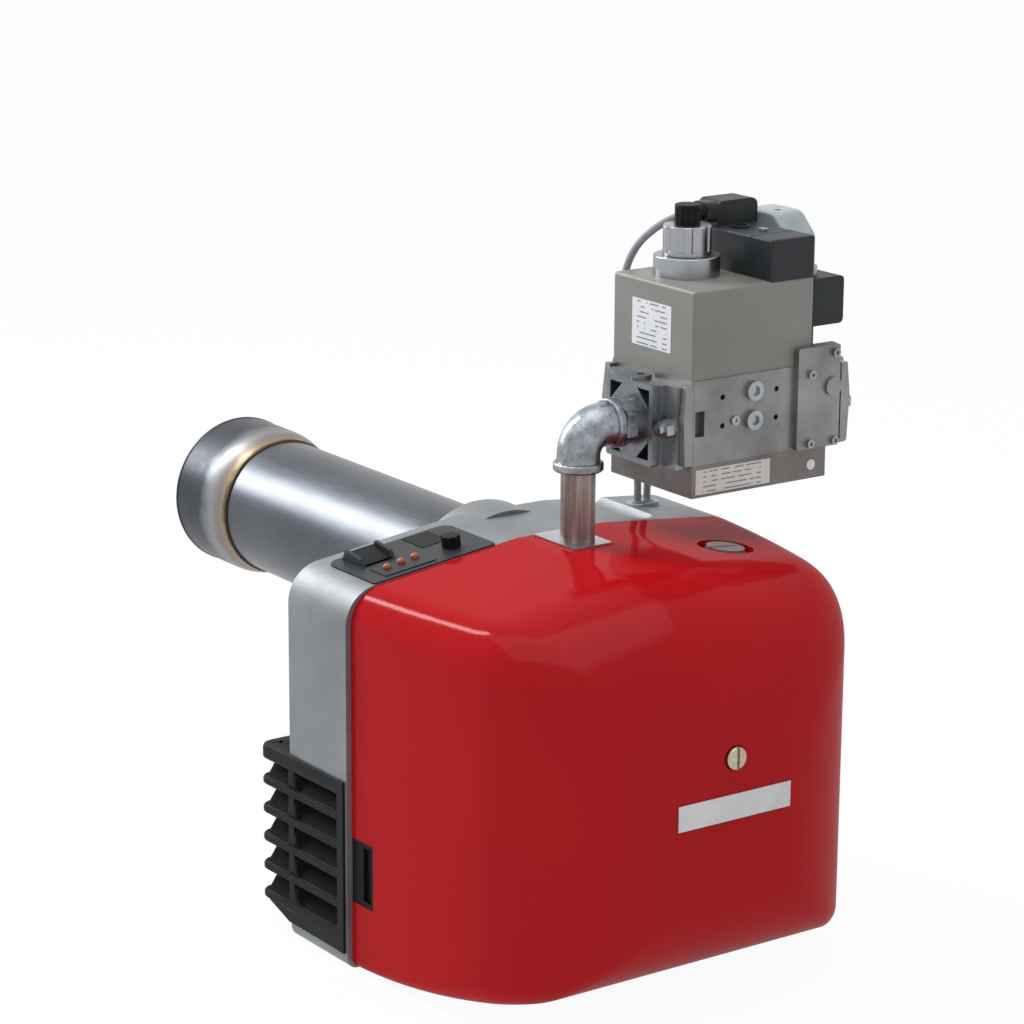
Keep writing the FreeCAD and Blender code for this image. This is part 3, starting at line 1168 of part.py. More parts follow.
def gas_tube():
    """Inner gas tube that slides in the manifold and carries the head."""
    return ring("Y", PIPE_R, PIPE_BORE_R, (0, GAS_TUBE_Y0, 0), NOZZLE_Y[0] - GAS_TUBE_Y0)


def gas_nozzle():
    """Drilled nozzle head on the end of the gas tube."""
    y0, y1 = NOZZLE_Y
    head = rod("Y", NOZZLE_R, (0, y0, 0), y1 - y0)
    head = head.cut(rod("Y", NOZZLE_R - 3, (0, y0 + 3, 0), y1 - y0 - 6))
    head = head.cut(rod("Y", PIPE_BORE_R, (0, y0 - 1, 0), 6))
    for i in range(8):
        a = math.radians(45 * i)
        way = V(math.cos(a), 0, math.sin(a))
        head = head.cut(Part.makeCylinder(2.0, NOZZLE_R + 1, V(0, y1 - 9, 0), way))
    return head


def diffuser_disc():
    """Slotted flame disc round the nozzle head."""
    y0 = NOZZLE_Y[1] - 16
    disc = ring("Y", DIFFUSER_R, NOZZLE_R + 0.05, (0, y0, 0), 1.6)
    for i in range(12):
        slot = box((29.0, 43.0), (y0 - 1, y0 + 3), (-1.5, 1.5))
        slot.rotate(V(0, 0, 0), V(0, 1, 0), 30 * i + 15)
        disc = disc.cut(slot)
    for x, z in ELECTRODES_AT:
        disc = disc.cut(rod("Y", ELECTRODE_R + 0.5, (x, y0 - 1, z), 4))
    return disc


ELECTRODE_R = 4.5
ELECTRODES_AT = ((-18.0, 31.2), (18.0, 31.2), (0.0, -36.0))


def electrode(x, z, reach):
    """Ceramic rod with its wire tip."""
    ceramic = rod("Y", ELECTRODE_R, (x, 262.0, z), 80)
    wire = rod("Y", 1.4, (x, 250.0, z), 92 + reach)
    return ceramic.fuse(wire).removeSplitter()


def ignition_electrodes():
    """Pair of ignition electrodes above the gas tube."""
    return [electrode(x, z, 12.0) for x, z in ELECTRODES_AT[:2]]


def flame_probe():
    """Ionisation probe below the gas tube."""
    x, z = ELECTRODES_AT[2]
    return electrode(x, z, 16.0)


def electrode_clamp():
    """Clamp on the gas tube that holds the electrodes."""
    y0 = 285.0
    clamp = ring("Y", 20, PIPE_R + 0.02, (0, y0, 0), 8)
    for x, z in ELECTRODES_AT:
        arm = rod("Y", ELECTRODE_R + 3, (x, y0, z), 8)
        reach = math.hypot(x, z)
        web = box((17.0, reach - 4), (y0, y0 + 8), (-3, 3))
        web.rotate(V(0, 0, 0), V(0, 1, 0), -math.degrees(math.atan2(z, x)))
        clamp = clamp.fuse([arm, web])
    for x, z in ELECTRODES_AT:
        clamp = clamp.cut(rod("Y", ELECTRODE_R + 0.02, (x, y0 - 1, z), 10))
    return clamp.removeSplitter()


def control_box():
    """Flame safeguard on its base."""
    y1 = -PLATE_STANDOFF - 2
    x0 = PLATE_X[0]
    base = box((x0 + 8, x0 + 78), (y1 - 14, y1), (-28, 36))
    body = box((x0 + 10, x0 + 76), (y1 - 62, y1 - 14), (-26, 34))
    body = round_edges(body, 3.0, lambda e: e.BoundBox.YMin < y1 - 61.9 and e.BoundBox.YLength < 0.01)
    body = body.cut(rod("Y", 7.3, (x0 + 43, y1 - 63, 4), 8))
    return base.fuse(body).removeSplitter()


def lockout_button():
    """Lock-out reset button of the flame safeguard."""
    y1 = -PLATE_STANDOFF - 2
    return rod("Y", 7.0, (PLATE_X[0] + 43, y1 - 64, 4), 5.5)


def ignition_transformer():
    """Encapsulated ignition transformer with two high-voltage outlets."""
    y1 = -PLATE_STANDOFF - 2
    x0 = PLATE_X[0]
    body = box((x0 + 14, x0 + 72), (y1 - 60, y1), (-128, -60))
    body = round_edges(body, 4.0, along_y)
    for z in (-110, -84):
        body = body.fuse(rod("Y", 7, (x0 + 43, y1 - 70, z), 11))
    return body


def air_pressure_switch():
    """Round diaphragm switch that proves the fan's air."""
    y1 = -PLATE_STANDOFF - 2
    x = PLATE_X[0] + 44
    body = rod("Y", 30, (x, y1 - 16, -178), 16)
    body = body.fuse(rod("Y", 22, (x, y1 - 34, -178), 18))
    return body.fuse(box((x - 6, x + 6), (y1 - 12, y1 - 2), (-212, -200))).removeSplitter()


PARTS = {
    "burner_body": burner_body,
    "blast_tube": blast_tube,
    "head_cap": head_cap,
    "burner_cover": burner_cover,
    "side_clip": side_clip,
    "cover_screw": cover_screw,
    "cover_disc": cover_disc,
    "cover_bracket": cover_bracket,
    "pipe_plate": pipe_plate,
    "air_louvre": air_louvre,
    "intake_box": intake_box,
    "damper_flap": damper_flap,
    "fan_wheel": fan_wheel,
    "fan_scroll": fan_scroll,
    "motor_body": motor_body,
    "motor_shaft": motor_shaft,
    "motor_rotor": motor_rotor,
    "motor_capacitor": motor_capacitor,
    "duct_cover": duct_cover,
    "inner_screws": inner_screws,
    "gas_manifold": gas_manifold,
    "gas_pipe": gas_pipe,
    "pipe_elbow": pipe_elbow,
    "hex_nipple": hex_nipple,
    "gas_tube": gas_tube,
    "gas_nozzle": gas_nozzle,
    "diffuser_disc": diffuser_disc,
    "ignition_electrodes": ignition_electrodes,
    "flame_probe": flame_probe,
    "electrode_clamp": electrode_clamp,
    "component_plate": component_plate,
    "control_box": control_box,
    "lockout_button": lockout_button,
    "ignition_transformer": ignition_transformer,
    "air_pressure_switch": air_pressure_switch,
    "control_panel": control_panel,
    "main_switch": main_switch,
    "reset_button": reset_button,
    "air_knob": air_knob,
    "panel_lamps": panel_lamps,
    "outlet_flange": outlet_flange,
    "inlet_flange": inlet_flange,
    "flange_bolts": flange_bolts,
    "valve_block": valve_block,
    "valve_base": valve_base,
    "valve_plungers": valve_plungers,
    "coil_housing": coil_housing,
    "valve_side_plate": valve_side_plate,
    "brake_disc": brake_disc,
    "flow_ring": flow_ring,
    "brake_cap": brake_cap,
    "terminal_box": terminal_box,
    "lead_plug": lead_plug,
    "pressure_switch": pressure_switch,
    "pressure_dial": pressure_dial,
    "switch_plug": switch_plug,
    "valve_fasteners": valve_fasteners,
    "lead_grommet": lead_grommet,
    "valve_lead": lambda: cable_tube(LEAD_A, LEAD_R),
    "pressure_lead": lambda: cable_tube(LEAD_B, LEAD_R),
}

for name, make in PARTS.items():
    made = make()
    if isinstance(made, list):
        made = Part.makeCompound(made)
    made.exportStep("parts/" + name + ".step")
    print(name, len(made.Solids), made.isValid(), round(made.Volume, 1))
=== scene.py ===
"""Studio scene of a forced-draught gas burner with its valve block on the supply pipe.

Metres. The frame is the part's: origin in the middle of the boiler flange, +Y into the boiler,
+Z up, +X to the right of someone who stands behind the burner.
"""

import json
import logging
import math
from dataclasses import dataclass
from enum import Enum

import bpy
import numpy as np
from mathutils import Matrix, Vector

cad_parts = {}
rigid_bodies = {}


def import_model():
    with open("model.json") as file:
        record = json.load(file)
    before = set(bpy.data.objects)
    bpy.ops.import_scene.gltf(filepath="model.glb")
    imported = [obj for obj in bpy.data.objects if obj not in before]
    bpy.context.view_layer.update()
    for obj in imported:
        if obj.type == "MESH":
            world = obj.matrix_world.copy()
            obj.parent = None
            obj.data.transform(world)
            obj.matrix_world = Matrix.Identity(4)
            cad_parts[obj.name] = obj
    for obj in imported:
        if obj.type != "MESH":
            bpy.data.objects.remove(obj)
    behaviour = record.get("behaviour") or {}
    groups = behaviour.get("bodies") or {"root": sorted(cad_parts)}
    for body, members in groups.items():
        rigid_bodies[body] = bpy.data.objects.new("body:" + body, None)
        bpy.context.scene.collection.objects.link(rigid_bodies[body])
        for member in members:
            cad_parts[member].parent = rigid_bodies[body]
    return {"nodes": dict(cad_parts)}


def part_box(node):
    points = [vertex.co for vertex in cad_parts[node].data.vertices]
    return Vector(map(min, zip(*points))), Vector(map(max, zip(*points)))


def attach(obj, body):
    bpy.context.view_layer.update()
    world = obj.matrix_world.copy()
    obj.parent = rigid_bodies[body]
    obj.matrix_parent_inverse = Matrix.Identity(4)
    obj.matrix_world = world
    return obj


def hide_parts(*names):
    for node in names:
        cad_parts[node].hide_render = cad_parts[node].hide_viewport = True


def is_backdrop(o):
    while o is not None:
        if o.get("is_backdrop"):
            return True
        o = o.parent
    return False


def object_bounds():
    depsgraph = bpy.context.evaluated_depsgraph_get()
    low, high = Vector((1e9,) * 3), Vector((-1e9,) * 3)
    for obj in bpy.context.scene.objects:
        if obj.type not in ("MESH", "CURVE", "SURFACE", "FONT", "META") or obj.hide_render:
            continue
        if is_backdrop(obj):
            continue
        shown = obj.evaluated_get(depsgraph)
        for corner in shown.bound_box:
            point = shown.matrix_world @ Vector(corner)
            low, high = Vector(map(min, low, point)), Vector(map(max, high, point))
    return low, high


LOG = logging.getLogger("burner")
Socket = bpy.types.NodeSocket

VALVE_LEAD_ROUTE = (
    (0.1330, -0.1010, 0.3060), (0.1290, -0.1010, 0.3060), (0.1210, -0.1004, 0.3053), (0.1134, -0.0987, 0.3033),
    (0.1066, -0.0960, 0.3000), (0.1009, -0.0923, 0.2956), (0.0966, -0.0880, 0.2903), (0.0939, -0.0831, 0.2845),
    (0.0930, -0.0780, 0.2783), (0.0931, -0.0714, 0.2696), (0.0934, -0.0664, 0.2606), (0.0940, -0.0634, 0.2500),
    (0.0952, -0.0620, 0.2360), (0.0980, -0.0614, 0.2100), (0.1026, -0.0608, 0.1780), (0.1086, -0.0588, 0.1440),
    (0.1146, -0.0550, 0.1140), (0.1198, -0.0506, 0.0900), (0.1223, -0.0483, 0.0760), (0.1225, -0.0479, 0.0640),
)
PRESSURE_LEAD_ROUTE = (
    (0.2070, -0.0780, 0.2850), (0.2069, -0.0678, 0.2838), (0.2068, -0.0590, 0.2801), (0.2065, -0.0514, 0.2743),
    (0.2061, -0.0456, 0.2668), (0.2055, -0.0419, 0.2579), (0.2049, -0.0407, 0.2485), (0.2020, -0.0404, 0.2300),
    (0.1942, -0.0408, 0.2080), (0.1820, -0.0414, 0.1850), (0.1674, -0.0420, 0.1600), (0.1534, -0.0432, 0.1350),
    (0.1420, -0.0452, 0.1110), (0.1345, -0.0470, 0.0900), (0.1320, -0.0476, 0.0760), (0.1320, -0.0478, 0.0640),
)


@dataclass(frozen=True)
class CameraSetup:
    """Place and lens of the photo's camera.

    Attributes:
        lens_mm: Focal length on a 36 mm sensor.
        azimuth_deg: Turn round the vertical; 0 looks along +Y.
        elevation_deg: Height above the horizon.
        roll_deg: Turn about the line of sight.
        place: Position in metres.
        sensor_mm: Width of the sensor.
        clip: Nearest and farthest distance seen in metres.
    """

    lens_mm: float = 119.1
    azimuth_deg: float = -35.23
    elevation_deg: float = 15.04
    roll_deg: float = 0.38
    place: tuple = (-1.4869, -2.1512, 0.7649)
    sensor_mm: float = 36.0
    clip: tuple = (0.05, 60.0)

    def build(self) -> bpy.types.Object:
        """Makes the camera and hands it to the scene.

        Returns:
            The camera object.
        """
        azimuth = math.radians(self.azimuth_deg)
        elevation = math.radians(self.elevation_deg)
        roll = math.radians(self.roll_deg)
        level = math.cos(elevation)
        back = Vector((math.sin(azimuth) * level, -math.cos(azimuth) * level, math.sin(elevation)))
        right = Vector((math.cos(azimuth), math.sin(azimuth), 0.0))
        up = back.cross(right)
        rolled_right = right * math.cos(roll) + up * math.sin(roll)
        rolled_up = back.cross(rolled_right)
        turn = Matrix((rolled_right, rolled_up, back)).transposed()
        data = bpy.data.cameras.new("photo_camera")
        data.lens = self.lens_mm
        data.sensor_width = self.sensor_mm
        data.clip_start, data.clip_end = self.clip
        camera = bpy.data.objects.new("photo_camera", data)
        camera.matrix_world = Matrix.Translation(Vector(self.place)) @ turn.to_4x4()
        bpy.context.scene.collection.objects.link(camera)
        bpy.context.scene.camera = camera
        return camera


class Axis(Enum):
    """Direction in which a pattern is drawn out."""

    NONE = (1.0, 1.0, 1.0)
    X = (0.04, 1.0, 1.0)
    Y = (1.0, 0.04, 1.0)
    Z = (1.0, 1.0, 0.04)
    ROUND_Y = (0.6, 1.0, 0.6)


def srgb(red: int, green: int, blue: int) -> tuple:
    """Turns a display colour into a linear one.

    Args:
        red: Red share from 0 to 255.
        green: Green share from 0 to 255.
        blue: Blue share from 0 to 255.

    Returns:
        Linear colour with an alpha of 1.
    """
    shares = (c / 255.0 for c in (red, green, blue))
    return tuple(c / 12.92 if c <= 0.04045 else ((c + 0.055) / 1.055) ** 2.4 for c in shares) + (1.0,)


def shaded(tone: tuple, factor: float, lift: float = 0.0) -> tuple:
    """Makes a darker or lighter tone: each share times a factor, plus a lift."""
    return tuple(min(1.0, share * factor + lift) for share in tone[:3]) + (1.0,)


class Graph:
    """Small helper that lays out one material's nodes."""

    def __init__(self, name: str) -> None:
        """Starts an empty material.

        Args:
            name: Name of the material.
        """
        self.material = bpy.data.materials.new(name)
        self.material.use_nodes = True
        self.tree = self.material.node_tree
        self.tree.nodes.clear()
        self.output = self.tree.nodes.new("ShaderNodeOutputMaterial")
        self.shader = self.tree.nodes.new("ShaderNodeBsdfPrincipled")
        self.tree.links.new(self.shader.outputs[0], self.output.inputs[0])
        self.place = self.tree.nodes.new("ShaderNodeTexCoord").outputs["Object"]

    def plug(self, value: Socket | float | tuple, target: Socket) -> None:
        """Joins a socket to a node's input, or sets the input to a plain value.

        Args:
            value: Output socket or plain value.
            target: Input socket.
        """
        if isinstance(value, Socket):
            self.tree.links.new(value, target)
        else:
            target.default_value = value

    def feed(self, inputs: bpy.types.bpy_prop_collection, values: dict) -> None:
        """Sets or joins a node's sockets, named with underscores for blanks."""
        for name, value in values.items():
            self.plug(value, inputs[name.replace("_", " ")])

    def add(self, kind: str, **values: object) -> bpy.types.Node:
        """Adds a node.

        Args:
            kind: Its type without the leading ShaderNode.
            **values: What its sockets take.

        Returns:
            The node.
        """
        node = self.tree.nodes.new("ShaderNode" + kind)
        self.feed(node.inputs, values)
        return node

    def put(self, **values: object) -> None:
        """Sets or joins sockets of the shader."""
        self.feed(self.shader.inputs, values)

    def mapped(self, axis: Axis = Axis.NONE) -> Socket:
        """Object coordinates, drawn out along an axis."""
        return self.add("Mapping", Scale=axis.value, Vector=self.place).outputs[0]

    def noise(self, scale: float, detail: float = 3.0, axis: Axis = Axis.NONE, rough: float = 0.5) -> Socket:
        """Noise with so many cells to the metre and octaves, its grain along an axis."""
        node = self.add("TexNoise", Scale=scale, Detail=detail, Roughness=rough, Vector=self.mapped(axis))
        return node.outputs["Fac"]

    def cells(self, scale: float) -> Socket:
        """Cell pattern, as on galvanised or cast metal, in cells to the metre."""
        return self.add("TexVoronoi", Scale=scale, Vector=self.mapped()).outputs["Distance"]

    def along(self, index: int) -> Socket:
        """One coordinate of the piece: 0 for X, 1 for Y and 2 for Z."""
        return self.add("SeparateXYZ", Vector=self.place).outputs[index]

    def span(self, value: Socket, low: float, high: float) -> Socket:
        """Maps low..high to 0..1."""
        return self.add("MapRange", From_Min=low, From_Max=high, Value=value).outputs[0]

    def math(self, operation: str, first: Socket, second: Socket | float) -> Socket:
        """Arithmetic on two sockets or numbers.

        Args:
            operation: Name of the Math node's operation.
            first: Value socket.
            second: Value socket or number.

        Returns:
            Value socket.
        """
        node = self.add("Math", Value=first)
        node.operation = operation
        self.plug(second, node.inputs[1])
        return node.outputs[0]

    def ramp(self, value: Socket, *stops: tuple) -> Socket:
        """Colour ramp.

        Args:
            value: Value socket.
            *stops: Pairs of place and colour.

        Returns:
            Colour socket.
        """
        node = self.tree.nodes.new("ShaderNodeValToRGB")
        elements = node.color_ramp.elements
        while len(elements) < len(stops):
            elements.new(0.5)
        for element, (at, colour) in zip(elements, stops):
            element.position = at
            element.color = colour
        self.plug(value, node.inputs[0])
        return node.outputs[0]

    def mix(self, share: Socket | float, first: Socket | tuple, second: Socket | tuple,
            kind: str = "MIX") -> Socket:
        """Mixes two colours.

        Args:
            share: Value socket or number.
            first: Colour socket or colour.
            second: Colour socket or colour.
            kind: Blend type.

        Returns:
            Colour socket.
        """
        node = self.tree.nodes.new("ShaderNodeMix")
        node.data_type = "RGBA"
        node.blend_type = kind
        for value, index in ((share, 0), (first, 6), (second, 7)):
            self.plug(value, node.inputs[index])
        return node.outputs[2]

    def roughness(self, value: Socket, low: float, high: float) -> None:
        """Lets the roughness follow a pattern from low to high."""
        self.put(Roughness=self.add("MapRange", To_Min=low, To_Max=high, Value=value).outputs[0])

    def bump(self, height: Socket, strength: float, depth: float) -> None:
        """Raises the surface with a pattern, by a share of a real height in metres."""
        node = self.add("Bump", Strength=strength, Distance=depth, Height=height)
        self.put(Normal=node.outputs[0])


@dataclass(frozen=True)
class Recipe:
    """Finish that is laid out in nodes.

    Attributes:
        name: Name of the material.
    """

    name: str

    def build(self) -> bpy.types.Material:
        """Makes the material.

        Returns:
            The material.
        """
        graph = Graph(self.name)
        self.paint(graph)
        return graph.material


@dataclass(frozen=True)
class GlossPaint(Recipe):
    """Glossy enamel with a faint orange peel and a fine fleck.

    Attributes:
        tone: Colour of the coat.
        deep: Colour of its deeper patches.
        gloss: Roughness under the clear layer.
    """

    tone: tuple
    deep: tuple
    gloss: float = 0.20

    def paint(self, graph: Graph) -> None:
        """Lays out the nodes.

        Args:
            graph: The material's nodes.
        """
        cloud = graph.noise(5.0, 2.0)
        fleck = graph.noise(2600.0, 1.0)
        body = graph.ramp(cloud, (0.3, self.deep), (0.7, self.tone))
        graph.put(Base_Color=graph.mix(0.3, body, graph.ramp(fleck, (0.4, self.deep), (0.65, self.tone))))
        graph.roughness(graph.noise(40.0, 3.0), self.gloss - 0.04, self.gloss + 0.05)
        graph.put(Coat_Weight=0.20, Coat_Roughness=0.11, Specular_IOR_Level=0.0)
        graph.bump(graph.noise(420.0, 2.0), 0.05, 0.0001)


@dataclass(frozen=True)
class SatinPaint(Recipe):
    """Even satin enamel with a slight grain.

    Attributes:
        tone: Colour.
        rough: Mean roughness.
        grain: Strength of the grain from 0 to 1.
    """

    tone: tuple
    rough: float = 0.5
    grain: float = 0.25

    def paint(self, graph: Graph) -> None:
        """Lays out the nodes.

        Args:
            graph: The material's nodes.
        """
        darker = shaded(self.tone, 0.84)
        graph.put(Base_Color=graph.ramp(graph.noise(18.0, 4.0), (0.25, darker), (0.75, self.tone)))
        graph.roughness(graph.noise(90.0, 3.0), self.rough - 0.07, self.rough + 0.07)
        graph.bump(graph.noise(1400.0, 2.0), self.grain, 0.0002)


@dataclass(frozen=True)
class Plastic(Recipe):
    """Moulded plastic with a fine eroded texture.

    Attributes:
        tone: Colour.
        rough: Mean roughness.
        shine: Level of the reflection.
    """

    tone: tuple
    rough: float = 0.48
    shine: float = 0.5

    def paint(self, graph: Graph) -> None:
        """Lays out the nodes.

        Args:
            graph: The material's nodes.
        """
        lighter = shaded(self.tone, 1.35, 0.001)
        graph.put(Base_Color=graph.ramp(graph.noise(60.0, 4.0), (0.35, self.tone), (0.8, lighter)))
        graph.roughness(graph.noise(700.0, 2.0), self.rough - 0.06, self.rough + 0.1)
        graph.put(Specular_IOR_Level=self.shine)
        graph.bump(graph.noise(2400.0, 1.0), 0.25, 0.00015)


@dataclass(frozen=True)
class CastMetal(Recipe):
    """Sand- or die-cast metal: cloudy tone, fine pits and dull patches.

    Attributes:
        light: Brighter tone.
        dark: Darker tone.
        pit: Cells to the metre of the pits.
        relief: Height of the surface texture in metres.
        rough: Mean roughness.
        metal: Metallic share.
    """

    light: tuple
    dark: tuple
    pit: float = 900.0
    relief: float = 0.0004
    rough: float = 0.46
    metal: float = 0.8

    def paint(self, graph: Graph) -> None:
        """Lays out the nodes.

        Args:
            graph: The material's nodes.
        """
        cloud = graph.noise(14.0, 6.0, rough=0.6)
        fine = graph.noise(self.pit, 3.0)
        body = graph.ramp(cloud, (0.32, self.dark), (0.66, self.light))
        pits = graph.ramp(fine, (0.35, self.dark), (0.6, self.light))
        graph.put(Base_Color=graph.mix(0.22, body, pits, "OVERLAY"), Metallic=self.metal)
        graph.roughness(graph.noise(55.0, 4.0), self.rough - 0.08, self.rough + 0.12)
        graph.bump(fine, 0.35, self.relief)


@dataclass(frozen=True)
class BrushedMetal(Recipe):
    """Rolled, milled or turned metal with fine lines along one way.

    Attributes:
        light: Brighter tone.
        dark: Darker tone.
        axis: Direction of the lines.
        lines: Lines to the metre.
        rough: Mean roughness.
        metal: Metallic share.
    """

    light: tuple
    dark: tuple
    axis: Axis = Axis.X
    lines: float = 1600.0
    rough: float = 0.34
    metal: float = 1.0

    def paint(self, graph: Graph) -> None:
        """Lays out the nodes.

        Args:
            graph: The material's nodes.
        """
        line = graph.noise(self.lines, 2.0, self.axis)
        cloud = graph.noise(11.0, 5.0, rough=0.6)
        body = graph.ramp(cloud, (0.3, self.dark), (0.7, self.light))
        lines = graph.ramp(line, (0.35, self.dark), (0.65, self.light))
        graph.put(Base_Color=graph.mix(0.3, body, lines), Metallic=self.metal)
        graph.roughness(line, self.rough - 0.06, self.rough + 0.1)
        graph.bump(line, 0.12, 0.0001)


@dataclass(frozen=True)
class HeatTintedSteel(Recipe):
    """Bright steel cap whose rear end is tinted by the weld.

    Attributes:
        weld_y: Place of the weld along the tube.
        reach: Length of the tint in metres.
    """

    weld_y: float
    reach: float

    def paint(self, graph: Graph) -> None:
        """Lays out the nodes.

        Args:
            graph: The material's nodes.
        """
        wobble = graph.math("MULTIPLY", graph.noise(60.0, 4.0), 0.010)
        place = graph.math("ADD", graph.along(1), wobble)
        tint = graph.span(place, self.weld_y + 0.004, self.weld_y + self.reach)
        heat = graph.ramp(
            tint, (0.0, srgb(70, 62, 56)), (0.10, srgb(104, 84, 62)), (0.20, srgb(168, 148, 116)),
            (0.34, srgb(150, 141, 134)), (0.52, srgb(160, 162, 166)), (0.80, srgb(112, 115, 120)),
            (1.0, srgb(66, 70, 76)))
        patch = graph.noise(26.0, 5.0, rough=0.65)
        worn = graph.ramp(patch, (0.3, srgb(84, 86, 90)), (0.7, srgb(142, 144, 148)))
        graph.put(Base_Color=graph.mix(0.35, heat, worn, "OVERLAY"), Metallic=0.9)
        graph.roughness(graph.noise(120.0, 4.0), 0.30, 0.48)
        graph.bump(graph.noise(800.0, 2.0), 0.1, 0.0001)


@dataclass(frozen=True)
class StreakedPipe(Recipe):
    """Raw black pipe, brownish, with streaks and worn bright patches."""

    def paint(self, graph: Graph) -> None:
        """Lays out the nodes.

        Args:
            graph: The material's nodes.
        """
        streak = graph.noise(220.0, 5.0, Axis.Z, 0.65)
        patch = graph.noise(38.0, 4.0)
        worn = graph.ramp(patch, (0.40, (0, 0, 0, 1)), (0.7, (0.6, 0.6, 0.6, 1)))
        body = graph.ramp(
            streak, (0.25, srgb(66, 56, 48)), (0.5, srgb(126, 114, 104)), (0.75, srgb(184, 178, 172)))
        graph.put(Base_Color=graph.mix(worn, body, srgb(150, 148, 146)), Metallic=0.9)
        graph.roughness(streak, 0.28, 0.5)
        graph.bump(graph.noise(600.0, 3.0), 0.25, 0.0002)


@dataclass(frozen=True)
class Spangle(Recipe):
    """Hot-dip zinc on a rough casting.

    Attributes:
        light: Brighter tone.
        dark: Darker tone.
    """

    light: tuple
    dark: tuple

    def paint(self, graph: Graph) -> None:
        """Lays out the nodes.

        Args:
            graph: The material's nodes.
        """
        cell = graph.cells(420.0)
        cloud = graph.noise(70.0, 5.0, rough=0.65)
        body = graph.ramp(cloud, (0.3, self.dark), (0.62, self.light))
        flowers = graph.ramp(cell, (0.2, self.light), (0.8, self.dark))
        graph.put(Base_Color=graph.mix(0.25, body, flowers, "MULTIPLY"), Metallic=0.95)
        graph.roughness(cloud, 0.2, 0.42)
        graph.bump(graph.noise(260.0, 5.0, rough=0.6), 0.55, 0.0009)


@dataclass(frozen=True)
class Label(Recipe):
    """Printed foil with bare grey rules in place of words.

    Attributes:
        tone: Colour of the foil.
        ink: Colour of the bars.
        low: Lower corner of the printed field along the two axes in metres.
        high: Upper corner of the printed field.
        axes: Indices of the two axes of the face.
        rows: Number of bars.
        metal: Metallic share of the foil.
    """

    tone: tuple
    ink: tuple
    low: tuple
    high: tuple
    axes: tuple
    rows: int
    metal: float = 0.0

    def paint(self, graph: Graph) -> None:
        """Lays out the nodes.

        Args:
            graph: The material's nodes.
        """
        across = graph.span(graph.along(self.axes[0]), self.low[0], self.high[0])
        rise = graph.span(graph.along(self.axes[1]), self.low[1], self.high[1])
        wave = graph.math("FRACT", graph.math("MULTIPLY", rise, float(self.rows)), 0.0)
        bar = self.between(graph, wave, 0.35, 0.62)
        inside = self.between(graph, across, 0.10, 0.88)
        broken = graph.math("GREATER_THAN", graph.noise(150.0, 1.0), 0.45)
        ink = graph.math("MULTIPLY", graph.math("MULTIPLY", bar, inside), broken)
        darker = shaded(self.tone, 0.9)
        paper = graph.ramp(graph.noise(30.0, 3.0), (0.3, darker), (0.7, self.tone))
        graph.put(Base_Color=graph.mix(ink, paper, self.ink), Metallic=self.metal)
        graph.roughness(graph.noise(300.0, 2.0), 0.38, 0.52)
        graph.bump(graph.noise(900.0, 1.0), 0.08, 0.0001)

    def between(self, graph: Graph, value: Socket, low: float, high: float) -> Socket:
        """Value socket that is 1 where a value lies between two limits."""
        above = graph.math("GREATER_THAN", value, low)
        return graph.math("MULTIPLY", above, graph.math("LESS_THAN", value, high))


RECIPES = (
    GlossPaint("red_enamel", srgb(180, 18, 24), srgb(168, 14, 22)),
    CastMetal("cast_housing", srgb(147, 150, 152), srgb(124, 128, 131), metal=0.55),
    BrushedMetal("rolled_tube", srgb(96, 100, 106), srgb(78, 82, 88), Axis.Y, 900.0, 0.30),
    HeatTintedSteel("heat_tinted_cap", weld_y=0.299, reach=0.044),
    Plastic("black_plastic", srgb(13, 16, 18), 0.5, 0.16),
    # Darker copy of the black plastic: painted shade on the innermost faces of the louvre slats.
    Plastic("louvre_inner_plastic", srgb(5, 7, 9), 0.6, 0.05),
    Plastic("charcoal_plastic", srgb(33, 37, 40), 0.45, 0.30),
    Plastic("grey_plastic", srgb(150, 160, 164), 0.4),
    Plastic("grey_disc", srgb(120, 112, 106), 0.4),
    Plastic("orange_lamp", srgb(158, 70, 20), 0.25),
    SatinPaint("beige_coil_paint", srgb(132, 131, 125), 0.42),
    SatinPaint("dark_paint", srgb(70, 74, 78), 0.45),
    CastMetal("milled_aluminium", srgb(156, 156, 155), srgb(112, 112, 112), 1100.0, 0.0001, 0.40, 0.85),
    CastMetal("milled_base", srgb(140, 134, 130), srgb(104, 99, 96), 900.0, 0.0001, 0.42, 0.8),
    CastMetal("die_cast_flange", srgb(156, 159, 162), srgb(104, 107, 110), 700.0, 0.0003, 0.32, 0.9),
    BrushedMetal("turned_aluminium", srgb(176, 178, 181), srgb(132, 135, 139), Axis.ROUND_Y, 2200.0, 0.28),
    Spangle("zinc_casting", srgb(178, 184, 190), srgb(104, 110, 116)),
    StreakedPipe("raw_pipe"),
    BrushedMetal("plated_steel", srgb(178, 184, 188), srgb(120, 126, 130), Axis.NONE, 900.0, 0.24),
    BrushedMetal("cover_screw_steel", srgb(206, 196, 178), srgb(150, 138, 118), Axis.X, 1400.0, 0.26),
    BrushedMetal("zinc_sheet", srgb(196, 199, 203), srgb(158, 162, 168), Axis.NONE, 500.0, 0.3),
    BrushedMetal("inner_steel", srgb(176, 178, 180), srgb(128, 130, 133), Axis.NONE, 1200.0, 0.35),
    Plastic("grey_sheath", srgb(138, 142, 148), 0.45),
    SatinPaint("glazed_ceramic", srgb(236, 234, 226), 0.2, 0.05),
)

